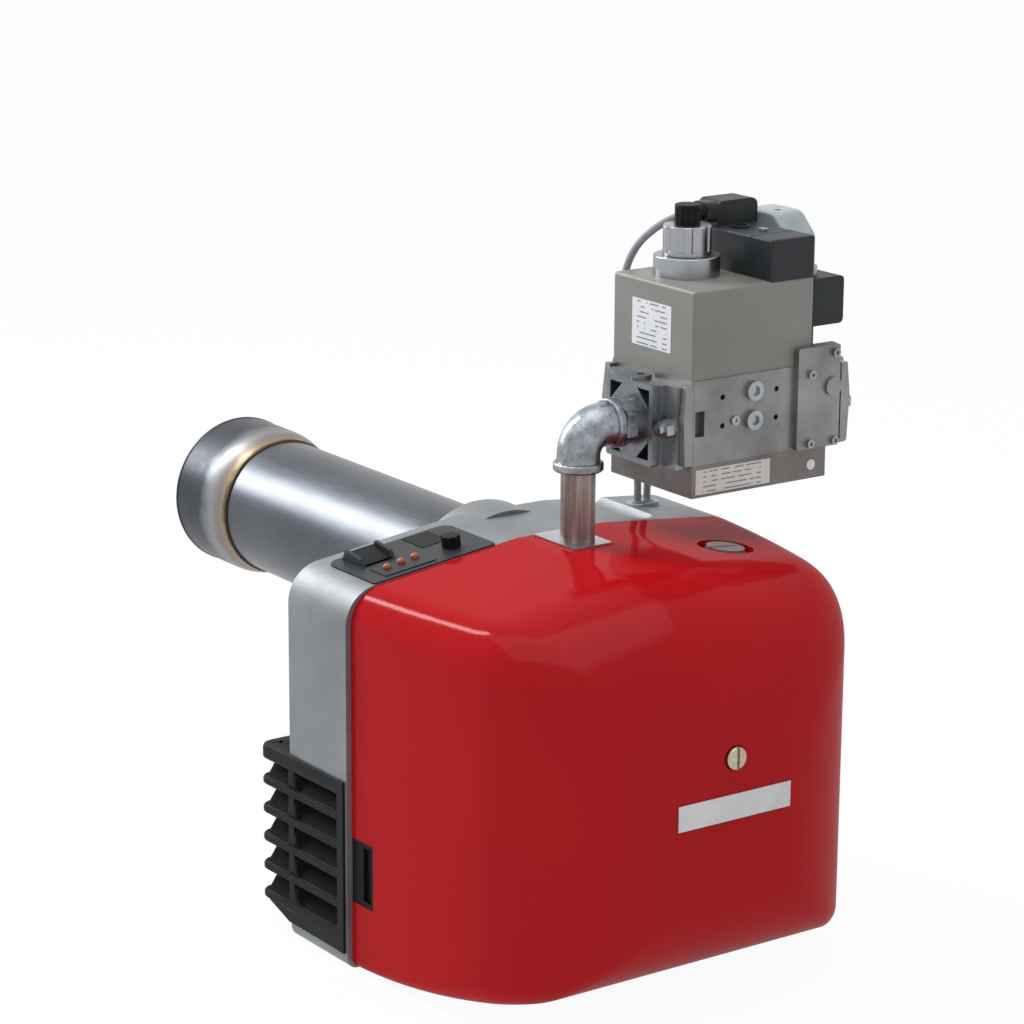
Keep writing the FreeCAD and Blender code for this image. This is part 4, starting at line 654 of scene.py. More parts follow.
FINISHED_NODES = {
    "cast_housing": "burner_body fan_scroll gas_manifold",
    "rolled_tube": "blast_tube",
    "heat_tinted_cap": "head_cap",
    "red_enamel": "burner_cover",
    "black_plastic": "side_clip air_louvre main_switch reset_button air_knob brake_cap",
    "cover_screw_steel": "cover_screw",
    "grey_disc": "cover_disc",
    "zinc_sheet": "cover_bracket pipe_plate duct_cover component_plate",
    "charcoal_plastic": (
        "intake_box ignition_transformer control_panel terminal_box lead_plug pressure_switch"),
    "inner_steel": (
        "damper_flap fan_wheel motor_shaft motor_rotor gas_tube gas_nozzle diffuser_disc "
        "electrode_clamp valve_plungers"),
    "dark_paint": "motor_body",
    "grey_plastic": "motor_capacitor control_box air_pressure_switch switch_plug lead_grommet",
    "plated_steel": "inner_screws flange_bolts valve_fasteners",
    "raw_pipe": "gas_pipe",
    "zinc_casting": "pipe_elbow hex_nipple",
    "glazed_ceramic": "ignition_electrodes flame_probe",
    "orange_lamp": "lockout_button panel_lamps",
    "die_cast_flange": "outlet_flange inlet_flange",
    "milled_aluminium": "valve_block valve_side_plate",
    "milled_base": "valve_base",
    "beige_coil_paint": "coil_housing",
    "turned_aluminium": "brake_disc flow_ring pressure_dial",
}


def dress_nodes(frame: dict) -> dict:
    """Makes the finishes and gives each carried-over node its own.

    Args:
        frame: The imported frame.

    Returns:
        Materials by name.
    """
    finishes = {recipe.name: recipe.build() for recipe in RECIPES}
    for finish, nodes in FINISHED_NODES.items():
        for node in nodes.split():
            data = frame["nodes"][node].data
            data.materials.clear()
            data.materials.append(finishes[finish])
    return finishes


def grid_faces(rows: int, columns: int, closed: bool) -> np.ndarray:
    """Quads over a grid of points: each joins a point, the next one in its ring and the two behind them.

    Args:
        rows: Number of rings.
        columns: Points in each ring.
        closed: Whether each ring closes on itself.

    Returns:
        Array of four indices for each quad.
    """
    wide = columns if closed else columns - 1
    row, column = np.meshgrid(np.arange(rows - 1), np.arange(wide), indexing="ij")
    following = (column + 1) % columns
    quads = np.stack([
        row * columns + column, row * columns + following,
        (row + 1) * columns + following, (row + 1) * columns + column], axis=-1)
    return quads.reshape(-1, 4)


def mesh_object(name: str, points: np.ndarray, faces: list) -> bpy.types.Object:
    """Makes a bare mesh object.

    Args:
        name: Name of the object.
        points: Corner places in metres.
        faces: Lists of corner indices.

    Returns:
        The object.
    """
    data = bpy.data.meshes.new(name)
    data.from_pydata(np.asarray(points, float).reshape(-1, 3).tolist(), [], faces)
    data.update()
    thing = bpy.data.objects.new(name, data)
    bpy.context.scene.collection.objects.link(thing)
    return thing


def make_piece(name: str, points: np.ndarray, faces: list, material: bpy.types.Material, body: str,
               smooth: bool = True) -> bpy.types.Object:
    """Makes a mesh piece that rides on a body.

    Args:
        name: Name of the piece.
        points: Corner places in metres.
        faces: Lists of corner indices.
        material: Its finish.
        body: Body that it rides on.
        smooth: Whether its faces are shaded smooth.

    Returns:
        The object.
    """
    piece = mesh_object(name, points, faces)
    data = piece.data
    data.polygons.foreach_set("use_smooth", np.full(len(data.polygons), smooth))
    data.materials.append(material)
    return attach(piece, body)


def slab_points(low: tuple, high: tuple) -> np.ndarray:
    """Eight corners of a block: bit 0, 1 and 2 of the index pick its high X, Y and Z."""
    pick = np.array([[i & 1, (i >> 1) & 1, (i >> 2) & 1] for i in range(8)])
    return np.where(pick, np.array(high), np.array(low))


SLAB_FACES = [[0, 2, 3, 1], [4, 5, 7, 6], [0, 1, 5, 4], [2, 6, 7, 3], [0, 4, 6, 2], [1, 3, 7, 5]]


def make_slab(name: str, low: tuple, high: tuple, material: bpy.types.Material, body: str,
              edge: float = 0.0) -> bpy.types.Object:
    """Makes a block that rides on a body.

    Args:
        name: Name of the piece.
        low: Lowest corner.
        high: Highest corner.
        material: Its finish.
        body: Body that it rides on.
        edge: Width of its rounded edges in metres.

    Returns:
        The object.
    """
    piece = make_piece(name, slab_points(low, high), SLAB_FACES, material, body, False)
    if edge:
        bevel = piece.modifiers.new("edge_round", "BEVEL")
        bevel.width = edge
        bevel.segments = 3
        bevel.limit_method = "ANGLE"
    return piece


class CoverSkin:
    """Smooth pressed cover with the outline, the walls and the openings of its CAD shell."""

    @dataclass(frozen=True)
    class Sizes:
        """Sizes of the cover in metres, the same as in the part's source."""

        half_width: float = 0.1895
        top: float = 0.0684
        foot: float = -0.252
        crest: tuple = (-0.033, 0.050)
        left_slope: float = 0.128
        right_top: float = 0.054
        crest_radius: float = 0.080
        top_radii: tuple = ((0.030, 0.044), (0.036, 0.044))
        foot_radii: tuple = ((0.009, 0.025), (0.020, 0.014))
        front_y: float = -0.0993
        rear_y: float = -0.331
        wall: float = 0.003
        step: float = 0.0045
        lean: tuple = (0.03, 0.09)
        bow: tuple = (0.023, 0.033)
        foot_bow: float = 0.039
        side_curl: float = 0.086
        foot_curl: float = 0.054
        top_curl: float = 0.105
        top_drop: float = 0.098
        straight_rows: int = 26
        curl_rows: int = 56
        corner_points: int = 22
        side_points: int = 9
        seat_points: int = 64
        radius_loss: float = 0.6
        sharp_deg: float = 32.0

    @dataclass(frozen=True)
    class Openings:
        """Places and sizes of the cover's openings in metres."""

        slot_half: float = 0.016
        slot_end_y: float = -0.135
        slot_front_y: float = -0.090
        slot_z: tuple = (0.040, 0.090)
        screw: tuple = (0.0, -0.331, -0.0500)
        screw_radius: float = 0.0096
        screw_depth: float = 0.020
        clip: tuple = ((-0.2020, -0.1270, -0.1965), (-0.1620, -0.0970, -0.1445))
        disc: tuple = (0.098, -0.192)
        disc_sink: float = 0.0024
        disc_way: tuple = (0.105, -0.02, 0.994)
        disc_radius: float = 0.022
        disc_depth: float = 0.030
        disc_lift: float = 0.0138
        seat: tuple = ((0.0157, -0.0012), (0.0246, -0.0012), (0.0246, -0.0040), (0.0157, -0.0040))

    def __init__(self, finishes: dict) -> None:
        """Builds the skin and puts it in the place of the CAD shell.

        Args:
            finishes: Materials by name.
        """
        self.sizes = self.Sizes()
        outer = self.rings(0.0)
        inner = self.rings(self.sizes.wall)
        rows, columns = outer.shape[:2]
        shell = grid_faces(rows, columns, True)
        rim = np.arange(columns)
        following = (rim + 1) % columns
        offset = rows * columns
        faces = shell.tolist() + (shell[:, ::-1] + offset).tolist()
        faces += np.stack([following, rim, rim + offset, following + offset], axis=-1).tolist()
        faces.append(((rows - 1) * columns + rim).tolist())
        faces.append((offset + (rows - 1) * columns + rim)[::-1].tolist())
        points = np.vstack([outer.reshape(-1, 3), inner.reshape(-1, 3)])
        self.piece = make_piece("cover_skin", points, faces, finishes["red_enamel"], "cover")
        self.cut()
        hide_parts("burner_cover")

    def curl(self, depth: float, floor: float, radius: float) -> float:
        """How far a wall has turned in on a quarter round that ends at the floor."""
        over = min(max(0.0, depth - (floor - radius)), radius)
        return radius - math.sqrt(radius ** 2 - over ** 2)

    def ring(self, depth: float, floor: float, inset: float) -> np.ndarray:
        """One outline of the cover at a depth behind the seam.

        Each side moves in by its lean times the depth and its bow times the square of the depth's share, and
        near the floor by its quarter round. The crest keeps its share of the width, and the left shoulder
        keeps its slope.

        Args:
            depth: Distance behind the seam.
            floor: Distance of the rear face behind the seam.
            inset: Distance inside the outer face.

        Returns:
            Array of places round the outline.
        """
        sizes = self.sizes
        share = depth / floor
        side = self.curl(depth, floor, sizes.side_curl - inset) + inset
        low_x = sizes.step + sizes.lean[0] * depth + sizes.bow[0] * share ** 2 + side - sizes.half_width
        high_x = sizes.half_width - sizes.lean[1] * depth - sizes.bow[1] * share ** 2 - side
        rise = sizes.foot_bow * share ** 2 + self.curl(depth, floor, sizes.foot_curl - inset) + inset
        top_radius = sizes.top_curl - inset
        drop = (sizes.top_drop - inset) * self.curl(depth, floor, top_radius) / top_radius + inset
        left_edge = -sizes.crest[0] / sizes.half_width * low_x
        right_edge = sizes.crest[1] / sizes.half_width * high_x
        left_top = sizes.top + sizes.left_slope * (-sizes.half_width - sizes.crest[0]) - drop
        corners = np.array([
            (low_x, sizes.foot + rise), (low_x, left_top), (left_edge, sizes.top - drop),
            (right_edge, sizes.top - drop), (high_x, sizes.right_top - drop), (high_x, sizes.foot + rise)])
        top = [a + (b - a) * share - sizes.radius_loss * inset for a, b in sizes.top_radii]
        foot = [a + (b - a) * share - sizes.radius_loss * inset for a, b in sizes.foot_radii]
        crest = sizes.crest_radius / sizes.half_width
        radii = [foot[0], top[0], -crest * low_x, crest * high_x, top[1], foot[1]]
        outline = self.rounded(corners, radii)
        return np.insert(outline, 1, sizes.front_y - depth, axis=1)

    def rounded(self, corners: np.ndarray, radii: list) -> np.ndarray:
        """Outline with rounded corners and evenly split sides.

        An arc starts and ends at its radius over the tangent of half the corner's angle from the corner, and
        its centre lies on the bisector, at its radius over the sine of that half.

        Args:
            corners: Corner places in the plane.
            radii: Radius at each corner.

        Returns:
            Array of places in the plane.
        """
        before = np.roll(corners, 1, axis=0) - corners
        after = np.roll(corners, -1, axis=0) - corners
        before /= np.linalg.norm(before, axis=1)[:, None]
        after /= np.linalg.norm(after, axis=1)[:, None]
        half = np.arccos(np.clip((before * after).sum(axis=1), -1.0, 1.0)) / 2
        reach = np.array(radii) / np.tan(half)
        starts = corners + before * reach[:, None]
        ends = corners + after * reach[:, None]
        share = np.linspace(-1.0, 1.0, self.sizes.corner_points)[:, None]
        middle = before + after
        middle /= np.linalg.norm(middle, axis=1)[:, None]
        line = []
        for index, radius in enumerate(radii):
            turn = math.pi / 2 - half[index]
            centre = corners[index] + middle[index] * radius / math.sin(half[index])
            side = np.array([-middle[index][1], middle[index][0]])
            side *= np.sign(side @ (ends[index] - starts[index]))
            over = turn * share
            line.append(centre - radius * np.cos(over) * middle[index] + radius * np.sin(over) * side)
            following = starts[(index + 1) % len(radii)]
            step = np.linspace(0.0, 1.0, self.sizes.side_points + 2)[1:-1, None]
            line.append(ends[index] * (1 - step) + following * step)
        return np.vstack(line)

    def rings(self, inset: float) -> np.ndarray:
        """All outlines from the seam to the rear: even steps, then steps by the sine over the quarter round.

        Args:
            inset: Distance inside the outer face.

        Returns:
            Array of rings of places.
        """
        sizes = self.sizes
        floor = sizes.front_y - sizes.rear_y - inset
        bend = sizes.top_curl - inset
        straight = floor - bend
        quarter = math.pi / 2
        depths = [straight * i / sizes.straight_rows for i in range(sizes.straight_rows)]
        depths += [
            straight + bend * math.sin(quarter * i / sizes.curl_rows) for i in range(sizes.curl_rows + 1)]
        return np.array([self.ring(depth, floor, inset) for depth in depths])

    def cut(self) -> None:
        """Cuts the pipe slot, the clip's notch, the screw's bore and the fastener's recess."""
        sizes = self.sizes
        openings = self.Openings()
        half, end = openings.slot_half, openings.slot_end_y
        low_z, high_z = openings.slot_z
        up = Vector((0.0, 0.0, 1.0))
        disc_x, disc_y = openings.disc
        fall = (sizes.top - sizes.right_top) / (sizes.half_width - sizes.crest[1])
        disc = Vector((disc_x, disc_y, sizes.top - fall * (disc_x - sizes.crest[1]) - openings.disc_sink))
        way = Vector(openings.disc_way).normalized()
        slot = slab_points((-half, end, low_z), (half, openings.slot_front_y, high_z))
        tools = [
            mesh_object("slot_tool", slot, SLAB_FACES),
            round_object("slot_end_tool", half, high_z - low_z, Vector((0.0, end, (low_z + high_z) / 2)), up),
            round_object("screw_tool", openings.screw_radius, openings.screw_depth, Vector(openings.screw),
                         Vector((0.0, 1.0, 0.0))),
            mesh_object("clip_tool", slab_points(*openings.clip), SLAB_FACES),
            round_object("disc_tool", openings.disc_radius, openings.disc_depth,
                         disc + way * openings.disc_lift, way),
        ]
        for tool in tools:
            boolean = self.piece.modifiers.new(tool.name, "BOOLEAN")
            boolean.operation = "DIFFERENCE"
            boolean.object = tool
            boolean.solver = "EXACT"
        graph = bpy.context.evaluated_depsgraph_get()
        whole = bpy.data.meshes.new_from_object(self.piece.evaluated_get(graph))
        self.piece.modifiers.clear()
        self.piece.data = whole
        for tool in tools:
            bpy.data.objects.remove(tool)
        whole.polygons.foreach_set("use_smooth", np.full(len(whole.polygons), True))
        whole.set_sharp_from_angle(angle=math.radians(sizes.sharp_deg))
        self.seat(disc, way, openings.seat)

    def seat(self, centre: Vector, way: Vector, profile: tuple) -> None:
        """Makes the floor of the recess round the turn fastener: a section carried round a circle.

        Args:
            centre: Middle of the fastener's face.
            way: Direction square to it.
            profile: Pairs of radius and height round the ring's section.
        """
        side = way.cross(Vector((0.0, 1.0, 0.0))).normalized()
        other = way.cross(side)
        count = self.sizes.seat_points
        around = circle(count, np.array(side), np.array(other))
        rings = [np.array(centre) + around * radius + np.array(way) * height for radius, height in profile]
        faces = grid_faces(len(rings), count, True).tolist()
        rim = np.arange(count)
        following = (rim + 1) % count
        last = (len(rings) - 1) * count
        faces += np.stack([rim + last, following + last, following, rim], axis=-1).tolist()
        enamel = self.piece.data.materials[0]
        seat = make_piece("cover_disc_seat", np.vstack(rings), faces, enamel, "cover", False)
        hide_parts("burner_cover")


def circle(count: int, side: np.ndarray, other: np.ndarray) -> np.ndarray:
    """Directions spread evenly round a circle: the cosine along one way and the sine along the other."""
    angle = np.linspace(0.0, 2.0 * math.pi, count + 1)[:-1, None]
    return np.cos(angle) * side + np.sin(angle) * other


def round_object(name: str, radius: float, length: float, middle: Vector, way: Vector) -> bpy.types.Object:
    """Makes a round bar for a cut.

    Args:
        name: Name of the object.
        radius: Its radius in metres.
        length: Its length in metres.
        middle: Its middle.
        way: Direction of its axis.

    Returns:
        The object.
    """
    side = way.orthogonal().normalized()
    count = 72
    around = radius * circle(count, np.array(side), np.array(way.cross(side)))
    low = np.array(middle) - np.array(way) * length / 2 + around
    high = np.array(middle) + np.array(way) * length / 2 + around
    ends = [list(range(count))[::-1], list(range(count, 2 * count))]
    return mesh_object(name, np.vstack([low, high]), grid_faces(2, count, True).tolist() + ends)


class AirLouvre:
    """Moulded air inlet whose slats run along the wall and wrap round the housing's front corner."""

    @dataclass(frozen=True)
    class Sizes:
        """Sizes of the louvre in metres."""

        wall_x: float = -0.1895
        face_y: float = -0.015
        rear_y: float = -0.0966
        bar: float = 0.0090
        top_z: float = -0.1002
        foot_z: float = -0.23975
        reach: tuple = (0.0021, 0.0044)
        nose_y: float = 0.0245
        deep: float = 0.0112
        shallow: float = 0.0034
        edge: tuple = (-0.036, -0.0235)
        corner: float = 0.0115
        front_x: float = -0.1330
        lips: tuple = (-0.1303, -0.1541, -0.1778, -0.2016, -0.2253)

        gap: float = 0.0002
        lid_gap: float = 0.0003
        overlap: float = 0.003
        top_height: float = 0.0112
        edge_round: float = 0.0006
        hood_height: float = 0.0115
        foot_height: float = 0.0120
        foot_drop: float = 0.0020
        post: tuple = (0.0006, -0.0232, 0.001)
        core: tuple = (0.0066, 0.0150, 0.010)
        lid: tuple = (0.0040, 0.0105)
        keel: tuple = (0.0017, 0.0185, -0.2262, -0.2288)
        front_bar: float = 0.007
        side_points: int = 40
        corner_points: int = 15
        slat_profile: tuple = (
            (0.0112, 0.0145), (0.0026, -0.0024), (0.0010, -0.0030), (0.0001, -0.0020), (0.0, 0.0012),
            (0.0008, 0.0024), (0.0024, 0.0027), (0.0029, 0.0020), (0.0036, 0.0024), (0.0112, 0.0172))
        hood_profile: tuple = (
            (0.0160, -0.0122), (0.0020, -0.0122), (0.0006, -0.0116), (0.0, -0.0104), (0.0, -0.0036),
            (0.0010, -0.0012), (0.0034, -0.0001), (0.0160, 0.0))
        foot_profile: tuple = (
            (0.0112, -0.0070), (0.0010, -0.0012), (0.0002, 0.0), (0.0010, 0.0012), (0.0112, 0.0100))
        # Number of innermost profile faces of a slat that take the painted shade.
        inner_faces: int = 2
        sharp_deg: float = 38.0

    def __init__(self, finishes: dict) -> None:
        """Builds the louvre in the place of its CAD node.

        Args:
            finishes: Materials by name.
        """
        self.sizes = self.Sizes()
        self.finish = finishes["black_plastic"]
        # Darker copy of the black plastic, used as painted shade on the slats' innermost faces.
        self.shade = finishes["louvre_inner_plastic"]
        sizes = self.sizes
        for index, lip in enumerate(sizes.lips):
            self.sweep(f"louvre_slat_{index + 1}", sizes.slat_profile, lip)
        self.sweep("louvre_hood", sizes.hood_profile, sizes.top_z)
        self.sweep("louvre_foot", sizes.foot_profile, sizes.lips[-1] - sizes.foot_drop)
        for name, (low, high) in self.bars().items():
            piece = make_slab(name, low, high, self.finish, "housing", sizes.edge_round)
            if name == "louvre_keel":
                for corner in (2, 3):
                    piece.data.vertices[corner].co.z = sizes.keel[3]
            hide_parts("air_louvre")

    def bars(self) -> dict:
        """Bars of the frame and blocks that close it behind the lips.

        Returns:
            Lowest and highest corner by name.
        """
        sizes = self.sizes
        wall, face, front, top, foot = sizes.wall_x, sizes.face_y, sizes.front_x, sizes.top_z, sizes.foot_z
        out = wall - sizes.reach[0]
        side = out + sizes.gap
        rear = sizes.rear_y + sizes.overlap
        post_x, post_y, post_z = sizes.post
        core_x, core_y, core_z = sizes.core
        lid_x, lid_y = sizes.lid
        keel_x, keel_y, keel_z, _ = sizes.keel
        nose = sizes.nose_y
        return {
            "louvre_rear_bar": ((out, sizes.rear_y, foot), (wall, sizes.rear_y + sizes.bar, top)),
            "louvre_top_bar": ((side, rear, top - sizes.top_height), (wall, face, top - sizes.gap)),
            "louvre_foot_bar": ((side, rear, foot + sizes.gap), (wall, face, foot + sizes.foot_height)),
            "louvre_corner_bar": ((wall - post_x, post_y, foot + post_z), (wall, face, top - post_z)),
            "louvre_core": ((wall + core_x, face, foot + core_z), (front, nose - core_y, top - sizes.gap)),
            "louvre_keel": ((wall - keel_x, face, foot + sizes.lid_gap), (front, keel_y, keel_z)),
            "louvre_lid": (
                (wall + lid_x, face, top - sizes.hood_height), (front, nose - lid_y, top - sizes.lid_gap)),
            "louvre_front_bar": (
                (front - post_z, face, foot + core_z), (front + sizes.front_bar, nose, top)),
        }

    def path(self) -> tuple:
        """Line of a lip in plan, with the way in at each of its points.

        It is a straight run beside the wall, a quarter circle round the corner and one more point in front.

        Returns:
            Arrays of places and of inward directions.
        """
        sizes = self.sizes
        near = sizes.wall_x - sizes.reach[1]
        run = np.linspace(0.0, 1.0, sizes.side_points)[:-1, None]
        start = np.array([sizes.wall_x - sizes.reach[0], sizes.rear_y + 0.5 * sizes.bar])
        bend = np.array([near, sizes.nose_y - sizes.corner])
        side = start * (1 - run) + bend * run
        angle = np.linspace(0.0, math.pi / 2, sizes.corner_points)[:, None]
        centre = np.array([near + sizes.corner, sizes.nose_y - sizes.corner])
        ways = np.hstack([np.cos(angle), -np.sin(angle)])
        arc = centre - sizes.corner * ways
        front = np.array([[sizes.front_x, sizes.nose_y]])
        line = np.vstack([side, arc, front])
        inward = np.vstack([np.tile([1.0, 0.0], (len(side), 1)), ways, [[0.0, -1.0]]])
        return line, inward

    def depth(self, along: np.ndarray) -> np.ndarray:
        """Greatest inward distances of a slat.

        Beside the wall they go from deep to shallow by three times the square of the share less twice its
        cube, because the housing's corner stands behind the slat. In front of its face they are free.

        Args:
            along: Places along the wall.

        Returns:
            Array of distances.
        """
        sizes = self.sizes
        share = np.clip((along - sizes.edge[0]) / (sizes.edge[1] - sizes.edge[0]), 0.0, 1.0)
        share = share * share * (3.0 - 2.0 * share)
        beside = sizes.deep + (sizes.shallow - sizes.deep) * share
        return np.where(along > sizes.face_y, sizes.hood_profile[0][0], beside)

    def sweep(self, name: str, profile: tuple, height: float) -> None:
        """Draws a profile along the lip's line, each point moved inwards by its distance or the depth's limit.

        Args:
            name: Name of the piece.
            profile: Pairs of inward distance and height.
            height: Height of the lip.
        """
        sizes = self.sizes
        line, inward = self.path()
        distance, rise = np.array(profile).T
        reach = np.minimum(distance, self.depth(line[:, 1])[:, None])
        plan = line[:, None] + inward[:, None] * reach[..., None]
        rings = np.dstack([plan, np.tile(height + rise, (len(line), 1))])
        count = len(profile)
        faces = grid_faces(len(rings), count, True).tolist()
        faces += [list(range(count))[::-1], list(range((len(rings) - 1) * count, len(rings) * count))]
        piece = make_piece(name, rings, faces, self.finish, "housing")
        piece.data.materials.append(self.shade)
        painted_shade_marks = np.zeros(len(faces), np.int32)
        # The innermost faces of each slat take the darker copy: painted shade under the slat above.
        if profile is sizes.slat_profile:
            painted_shade_marks[:-2] = np.tile(np.arange(count) >= count - sizes.inner_faces, len(rings) - 1)
        piece.data.polygons.foreach_set("material_index", painted_shade_marks)
        piece.data.set_sharp_from_angle(angle=math.radians(sizes.sharp_deg))
        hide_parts("air_louvre")


class Plates:
    """Bare badge on the cover and bare labels on the valve block."""

    @dataclass(frozen=True)
    class Sizes:
        """Corners and sizes of the plates in metres."""

        badge: tuple = ((-0.0525, -0.0975), (0.0525, -0.0775))
        badge_depth: float = 0.0012
        badge_edge: float = 0.0004
        foil: float = 0.0003
        coil: tuple = ((-0.1558, 0.2115), (-0.1070, 0.2480))
        rating: tuple = ((0.073, 0.1055), (0.146, 0.1250))
        dot: tuple = (0.1875, 0.114)
        dot_radius: float = 0.0042
        dot_points: int = 32

    def __init__(self) -> None:
        """Builds the plates."""
        sizes = self.Sizes()
        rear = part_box("burner_cover")[0].y
        (low_x, low_z), (high_x, high_z) = sizes.badge
        silver = BrushedMetal(
            "badge_foil", srgb(206, 207, 208), srgb(170, 172, 174), Axis.X, 1800.0, 0.36, 0.7)
        make_slab("cover_badge", (low_x, rear - sizes.badge_depth, low_z), (high_x, rear, high_z),
                  silver.build(), "cover", sizes.badge_edge)
        ink = srgb(120, 124, 130)
        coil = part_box("coil_housing")[0].x
        paper = Label("coil_label_paper", srgb(226, 228, 230), ink, *sizes.coil, (1, 2), 9).build()
        low, high = sizes.coil
        make_slab("coil_label", (coil - sizes.foil, *low), (coil, *high), paper, "housing")
        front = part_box("valve_base")[0].y
        plate = Label("rating_foil", srgb(206, 204, 198), ink, *sizes.rating, (0, 2), 5, 0.3).build()
        (low_x, low_z), (high_x, high_z) = sizes.rating
        near = front - sizes.foil
        make_slab("rating_label", (low_x, near, low_z), (high_x, front, high_z), plate, "housing")
        count = sizes.dot_points
        around = sizes.dot_radius * circle(count, np.array((1.0, 0.0, 0.0)), np.array((0.0, 0.0, 1.0)))
        disc = np.array((sizes.dot[0], near, sizes.dot[1])) + around
        back = disc + np.array((0.0, sizes.foil, 0.0))
        faces = grid_faces(2, count, True).tolist() + [list(range(count))[::-1]]
        make_piece("round_label", np.vstack([disc, back]), faces, paper, "housing", False)


class Leads:
    """The two grey leads from the valve to the housing."""

    @dataclass(frozen=True)
    class Sizes:
        """Sizes of the leads in metres."""

        diameter: float = 0.006
        valve_length: float = 0.2817
        pressure_length: float = 0.2586

    def __init__(self, sheath: bpy.types.Material) -> None:
        """Builds both leads.

        Args:
            sheath: Material of the sheath.
        """
        self.sizes = self.Sizes()
        self.build("valve_lead", VALVE_LEAD_ROUTE, self.sizes.valve_length, sheath)
        self.build("pressure_lead", PRESSURE_LEAD_ROUTE, self.sizes.pressure_length, sheath)

    def build(self, node: str, route: tuple, length: float, sheath: bpy.types.Material) -> None:
        """Builds one lead along its route.

        Args:
            node: CAD node that it stands for.
            route: Points of the centre line.
            length: Real length in metres; not used.
            sheath: Material of the sheath.
        """
        name = f"{node}_sheath"
        data = bpy.data.curves.new(name, "CURVE")
        data.dimensions = "3D"
        data.bevel_depth = self.sizes.diameter / 2
        data.bevel_resolution = 6
        data.resolution_u = 10
        data.use_fill_caps = True
        spline = data.splines.new("NURBS")
        spline.points.add(len(route) - 1)
        spline.points.foreach_set("co", np.hstack([np.array(route), np.ones((len(route), 1))]).ravel())
        spline.order_u = 3
        spline.use_endpoint_u = True
        data.materials.append(sheath)
        lead = bpy.data.objects.new(name, data)
        bpy.context.scene.collection.objects.link(lead)
        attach(lead, "housing")
        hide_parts(node)


def seen_ray(tree: bpy.types.NodeTree) -> Socket:
    """Share of a ray that the camera, a reflection or a clear piece sees.

    Args:
        tree: Node tree that takes the nodes.

    Returns:
        Value socket, 1 for such a ray.
    """
    path = tree.nodes.new("ShaderNodeLightPath")
    total = path.outputs["Is Camera Ray"]
    for name in ("Is Glossy Ray", "Is Transmission Ray"):
        node = tree.nodes.new("ShaderNodeMath")
        node.operation = "MAXIMUM"
        tree.links.new(total, node.inputs[0])
        tree.links.new(path.outputs[name], node.inputs[1])
        total = node.outputs[0]
    return total


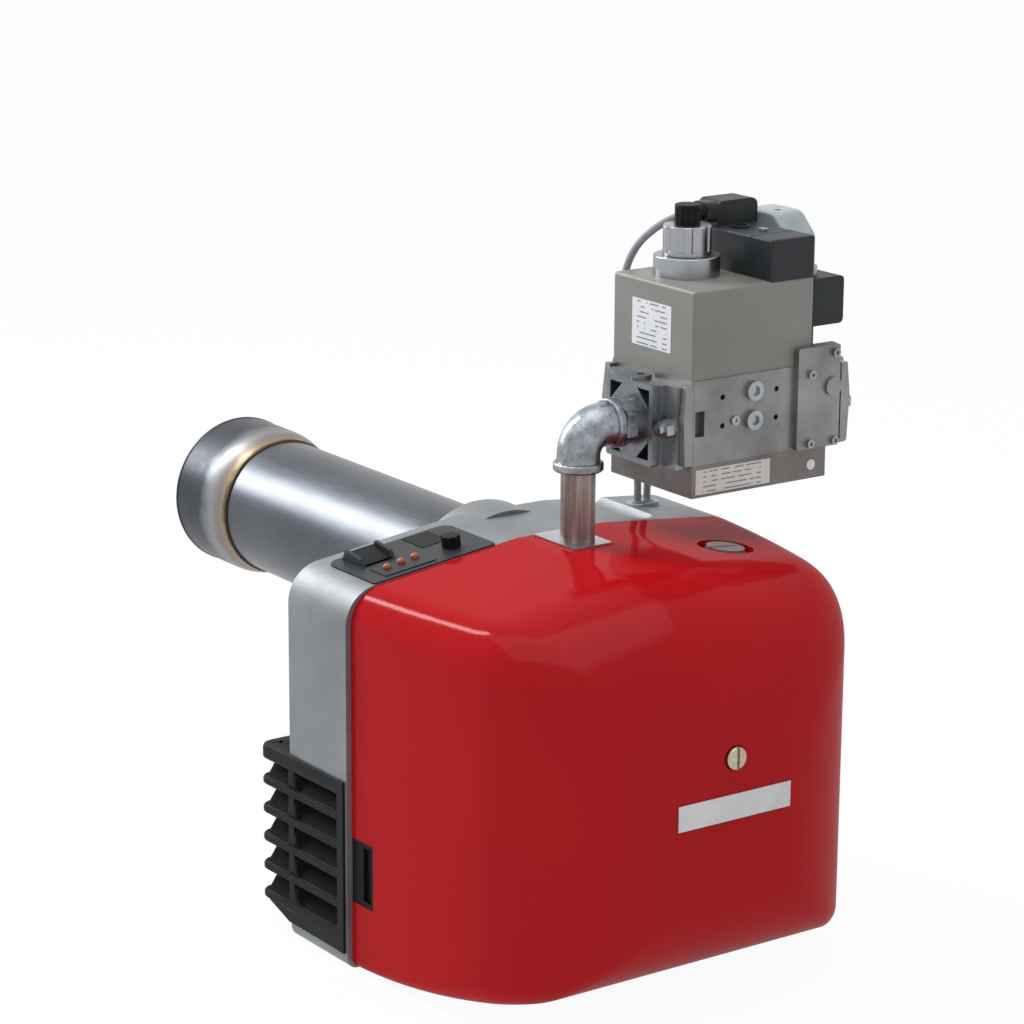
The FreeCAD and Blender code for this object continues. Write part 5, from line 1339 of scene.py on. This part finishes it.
class Studio:
    """Floor, lights and surroundings."""

    @dataclass(frozen=True)
    class Sizes:
        """Sizes of the floor in metres and the levels of the light."""

        floor_half: float = 12.0
        floor_gap: float = 0.0005
        floor_glow: float = 0.95
        sky: float = 0.61
        lamps: tuple = (
            ("top_light", (-0.1, -0.25, 2.4), (0.0, 0.0, 0.0), (2.6, 2.2), 24.0),
            ("shoulder_strip", (-0.66, 1.55, 1.20), (0.0, -0.1, 0.0), (0.26, 1.80), 36.0),
        )

    def __init__(self, floor_z: float) -> None:
        """Builds the studio.

        Args:
            floor_z: Height of the object's lowest point.
        """
        self.sizes = self.Sizes()
        self.floor(floor_z - self.sizes.floor_gap)
        self.world()
        for lamp in self.sizes.lamps:
            self.lamp(*lamp)

    def floor(self, z: float) -> None:
        """Makes the pale floor, which seems to glow and still takes the object's shadow.

        Args:
            z: Its height.
        """
        half = self.sizes.floor_half
        places = [(-half, -half, z), (half, -half, z), (half, half, z), (-half, half, z)]
        floor = mesh_object("studio_floor", places, [[0, 1, 2, 3]])
        graph = Graph("studio_floor")
        pale = graph.ramp(graph.noise(2.0, 2.0), (0.3, (0.90, 0.90, 0.90, 1)), (0.7, (0.92, 0.92, 0.92, 1)))
        graph.put(Base_Color=pale, Roughness=0.9, Specular_IOR_Level=0.1)
        glow = graph.add("Emission")
        share = graph.math("MULTIPLY", seen_ray(graph.tree), self.sizes.floor_glow)
        blend = graph.add("MixShader", Fac=share)
        graph.plug(graph.shader.outputs[0], blend.inputs[1])
        graph.plug(glow.outputs[0], blend.inputs[2])
        graph.plug(blend.outputs[0], graph.output.inputs[0])
        floor.data.materials.append(graph.material)
        floor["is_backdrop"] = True

    def world(self) -> None:
        """Makes white surroundings for the camera and a softer sky for the light."""
        world = bpy.data.worlds.new("studio_world")
        bpy.context.scene.world = world
        world.use_nodes = True
        tree = world.node_tree
        tree.nodes.clear()
        output = tree.nodes.new("ShaderNodeOutputWorld")
        mix = tree.nodes.new("ShaderNodeMixShader")
        tree.links.new(seen_ray(tree), mix.inputs[0])
        skies = (((0.93, 0.96, 1.0, 1.0), self.sizes.sky), ((1.0, 1.0, 1.0, 1.0), 1.0))
        for index, (colour, strength) in enumerate(skies, start=1):
            sky = tree.nodes.new("ShaderNodeBackground")
            sky.inputs["Color"].default_value = colour
            sky.inputs["Strength"].default_value = strength
            tree.links.new(sky.outputs[0], mix.inputs[index])
        tree.links.new(mix.outputs[0], output.inputs[0])

    def lamp(self, name: str, place: tuple, aim: tuple, size: tuple, watts: float) -> None:
        """Makes a soft box.

        Args:
            name: Name of the light.
            place: Its place.
            aim: Point that it faces.
            size: Its two sides.
            watts: Its power.
        """
        data = bpy.data.lights.new(name, "AREA")
        data.shape = "RECTANGLE"
        data.size, data.size_y = size
        data.energy = watts
        lamp = bpy.data.objects.new(name, data)
        lamp.location = place
        lamp.rotation_mode = "QUATERNION"
        lamp.rotation_quaternion = (Vector(aim) - Vector(place)).to_track_quat("-Z", "Y")
        bpy.context.scene.collection.objects.link(lamp)


def corners() -> list:
    """Lowest and highest corner of the shown object as plain lists."""
    return [list(corner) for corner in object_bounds()]


def main() -> None:
    """Builds the sub-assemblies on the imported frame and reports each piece."""
    logging.basicConfig(level=logging.INFO)
    scene = bpy.context.scene
    for item in list(scene.collection.objects):
        bpy.data.objects.remove(item)
    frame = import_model()
    start = corners()
    carried = set(bpy.data.objects.keys())
    scene.view_settings.view_transform = "Standard"
    finishes = dress_nodes(frame)
    CoverSkin(finishes)
    AirLouvre(finishes)
    Plates()
    Leads(finishes["grey_sheath"])
    Studio(start[0][2])
    CameraSetup().build()
    for name in sorted(set(bpy.data.objects.keys()) - carried):
        LOG.info("made %s", name)


if __name__ == "__main__":
    main()
